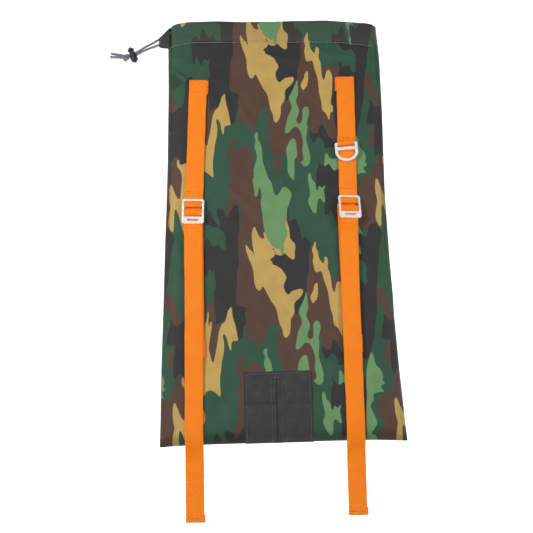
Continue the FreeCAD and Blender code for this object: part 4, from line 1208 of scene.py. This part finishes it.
def braid(line, diameter, taper=0.0):
    """A braided tube round a line of points: crossing strands raised in the mesh."""
    line = even(line, 0.28)
    run = np.concatenate([[0], np.cumsum(np.linalg.norm(np.diff(line, axis=0), axis=1))])
    ahead = np.gradient(line, axis=0)
    ahead /= np.linalg.norm(ahead, axis=1)[:, None]
    side = np.cross(ahead, (0, 0, 1.0))
    side /= np.linalg.norm(side, axis=1)[:, None] + 1e-9
    up = np.cross(side, ahead)
    angle = np.linspace(0, 2 * math.pi, 24, endpoint=False)
    twist = 2 * math.pi * run[:, None] / 6.0
    one = np.abs(np.sin(3 * (angle[None] + twist)))
    other = np.abs(np.sin(3 * (angle[None] - twist)))
    over = np.sin(3 * angle[None]) * np.sin(3 * twist) > 0
    strand = np.where(over, one, other) ** 0.7
    radius = diameter / 2 * (1.0 + 0.14 * strand)
    if taper:
        radius = radius * (1 + taper * step_up(run, run[-1] - 3, run[-1]))[:, None]
    around = np.cos(angle)[None, :, None] * side[:, None] + np.sin(angle)[None, :, None] * up[:, None]
    points = line[:, None] + around * radius[:, :, None]
    uv = np.stack(np.broadcast_arrays(angle[None] * diameter / 2, run[:, None]), -1).reshape(-1, 2)
    return points.reshape(-1, 3), tube_faces(len(line), len(angle)), uv, strand.ravel()


def cord_piece(name, lines, diameter=CORD, taper=0.0):
    parts = [braid(line, diameter, taper) for line in lines]
    faces, first = [], 0
    for points, its_faces, _, _ in parts:
        faces += [[first + i for i in face] for face in its_faces]
        first += len(points)
    piece = new_piece(name, np.vstack([p[0] for p in parts]), faces_of(faces), "cord",
                      np.vstack([p[2] for p in parts]), {"strand": np.concatenate([p[3] for p in parts])})
    fix_normals(piece)
    return piece


def make_knot():
    """Both cords tied together in one overhand knot, with their cut ends past it."""
    turn = np.linspace(0, 2 * math.pi, 90)
    size = 1.42
    x = size * (np.sin(turn) + 2 * np.sin(2 * turn))
    y = size * (np.cos(turn) - 2 * np.cos(2 * turn))
    z = -size * 1.25 * np.sin(3 * turn)
    middle = np.array([-210.0, 302.7, 5.7])
    lines = [np.column_stack([x, y, z]) + middle]
    ends = [
        [(-208, 301.5, 6.0), (-214.5, 302.6, 5.6), (-221, 303.8, 4.4), (-227, 304.8, 3.0),
         (-232.4, 305.2, 2.4)],
        [(-208, 304.5, 5.8), (-214.0, 306.0, 5.4), (-220.5, 307.8, 4.2), (-226, 309.4, 2.8),
         (-231.0, 310.6, 2.3)],
    ]
    lines += [route_line(points) for points in ends]
    knot = cord_piece("drawcord_knot_braid", lines, 3.4, taper=0.14)
    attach(knot, "root")
    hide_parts("drawcord_knot")
    return knot


def make_cords():
    knot = make_knot()
    lock = ["cord_lock_body", "cord_lock_plunger", make_spring()]
    for name, route, length, extra in (("upper", UPPER_END, 0.0483, [knot, *lock]),
                                       ("lower", LOWER_END, 0.0470, [])):
        line = route_line(route)
        piece = cord_piece(f"drawcord_{name}_braid", [line])
        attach(piece, "root")
        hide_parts(f"drawcord_end_{name}")


def make_spring():
    """The lock's coil spring."""
    lock = Spot(-200, 306.9, 5.3, 20.6)
    base, top, turns = -10.8, -7.0, 2.5
    turn = np.linspace(0, 2 * math.pi * turns, 220)
    rise_line = base + 0.3 + (top - base - 0.6) * turn / turn[-1]
    coil = lock.out(np.column_stack([2.4 * np.cos(turn), rise_line, 2.4 * np.sin(turn)]))
    points, faces, uv, _ = braid(coil, 0.4)
    spring = new_piece("cord_lock_spring_coil", points, faces_of(faces), "spring_wire", uv)
    fix_normals(spring)
    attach(spring, "cord_lock")
    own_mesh(spring)
    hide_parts("cord_lock_spring")
    return spring


def make_spout():
    """The black sleeve at the hem's left end: a flattened cone of cloth, open at its tip."""
    sections = [(-146.5, 314.0, 345.5, 2.6, 9.6), (-150.5, 314.6, 341.8, 2.4, 9.2),
                (-155, 315.2, 337.2, 2.0, 8.9), (-159, 316.0, 333.4, 1.8, 8.4),
                (-161.6, 317.0, 331.4, 1.9, 8.0)]
    fine = spline(sections, 0.9)
    angle = np.linspace(0, 2 * math.pi, 40, endpoint=False)
    rows = []
    for x, near, far, low, high in fine:
        flat_cos = np.sign(np.cos(angle)) * np.abs(np.cos(angle)) ** 0.8
        flat_sin = np.sign(np.sin(angle)) * np.abs(np.sin(angle)) ** 0.8
        y = (near + far) / 2 + (far - near) / 2 * flat_cos
        z = (low + high) / 2 + (high - low) / 2 * flat_sin
        crumple = 0.3 * wander(y, z * 0 + x, 7, 61)
        rows.append(np.column_stack([x + crumple * 0.6, y, z + crumple * np.abs(flat_sin)]))
    points = np.array(rows)
    uv = np.stack([points[..., 0], points[..., 1]], -1).reshape(-1, 2)
    spout = new_piece("hem_spout_cloth", points.reshape(-1, 3), grid_faces(len(fine), 40, wrap=True),
                      "black_cloth", uv)
    fix_normals(spout)
    shell(spout, 0.5)
    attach(spout, "root")
    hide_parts("hem_spout")
    bow = np.linspace(0, 1, 20)
    near, far = 317.4, 331.6
    y = near + (far - near) * bow
    x = -159.3 + 2.4 * np.abs(bow - 0.45)
    z = 8.7 + 0 * bow - 2.4 * np.abs(2 * bow - 1) ** 3
    stitch_rows("spout_stitches", [np.column_stack([x, y, z])], "root", [], 2.0, 0.8, 0.28)


# ---------------------------------------------------------------- putting it together

MATERIALS = {
    "camo_cloth": camo_paint(), "webbing": webbing_paint(), "black_cloth": black_paint(),
    "thread": thread_paint("thread", tint(186, 187, 192), tint(126, 127, 133)),
    "dark_thread": thread_paint("dark_thread", tint(118, 119, 122), tint(84, 85, 88)),
    "plum_thread": thread_paint("plum_thread", tint(134, 100, 108), tint(96, 66, 74)),
    "orange_thread": thread_paint("orange_thread", tint(250, 130, 24), tint(214, 92, 12)),
    "cord": cord_paint(), "hardware": metal_paint(),
    "lock_plastic": plastic_paint(), "spring_wire": steel_paint(),
}


def paint_frame():
    """Gives the CAD pieces their materials."""
    slots = {part["node"]: part["material_slot"] for part in frame["record"]["subparts"]}
    for name, piece in frame["nodes"].items():
        piece.data.materials.clear()
        piece.data.materials.append(MATERIALS[slots[name]])


make_camera()
make_lights()
make_floor()
paint_frame()
make_cords()
make_front()
make_back()
make_hem_stitching()
make_patch()
make_lips()
make_patch_stitching()
for side, plan in STRAPS.items():
    make_upper_strap(side, plan)
    make_lower_strap(side, plan)
    make_slider_webbing(side, plan)
    make_tail(side, plan)
make_ring_tab()
make_spout()
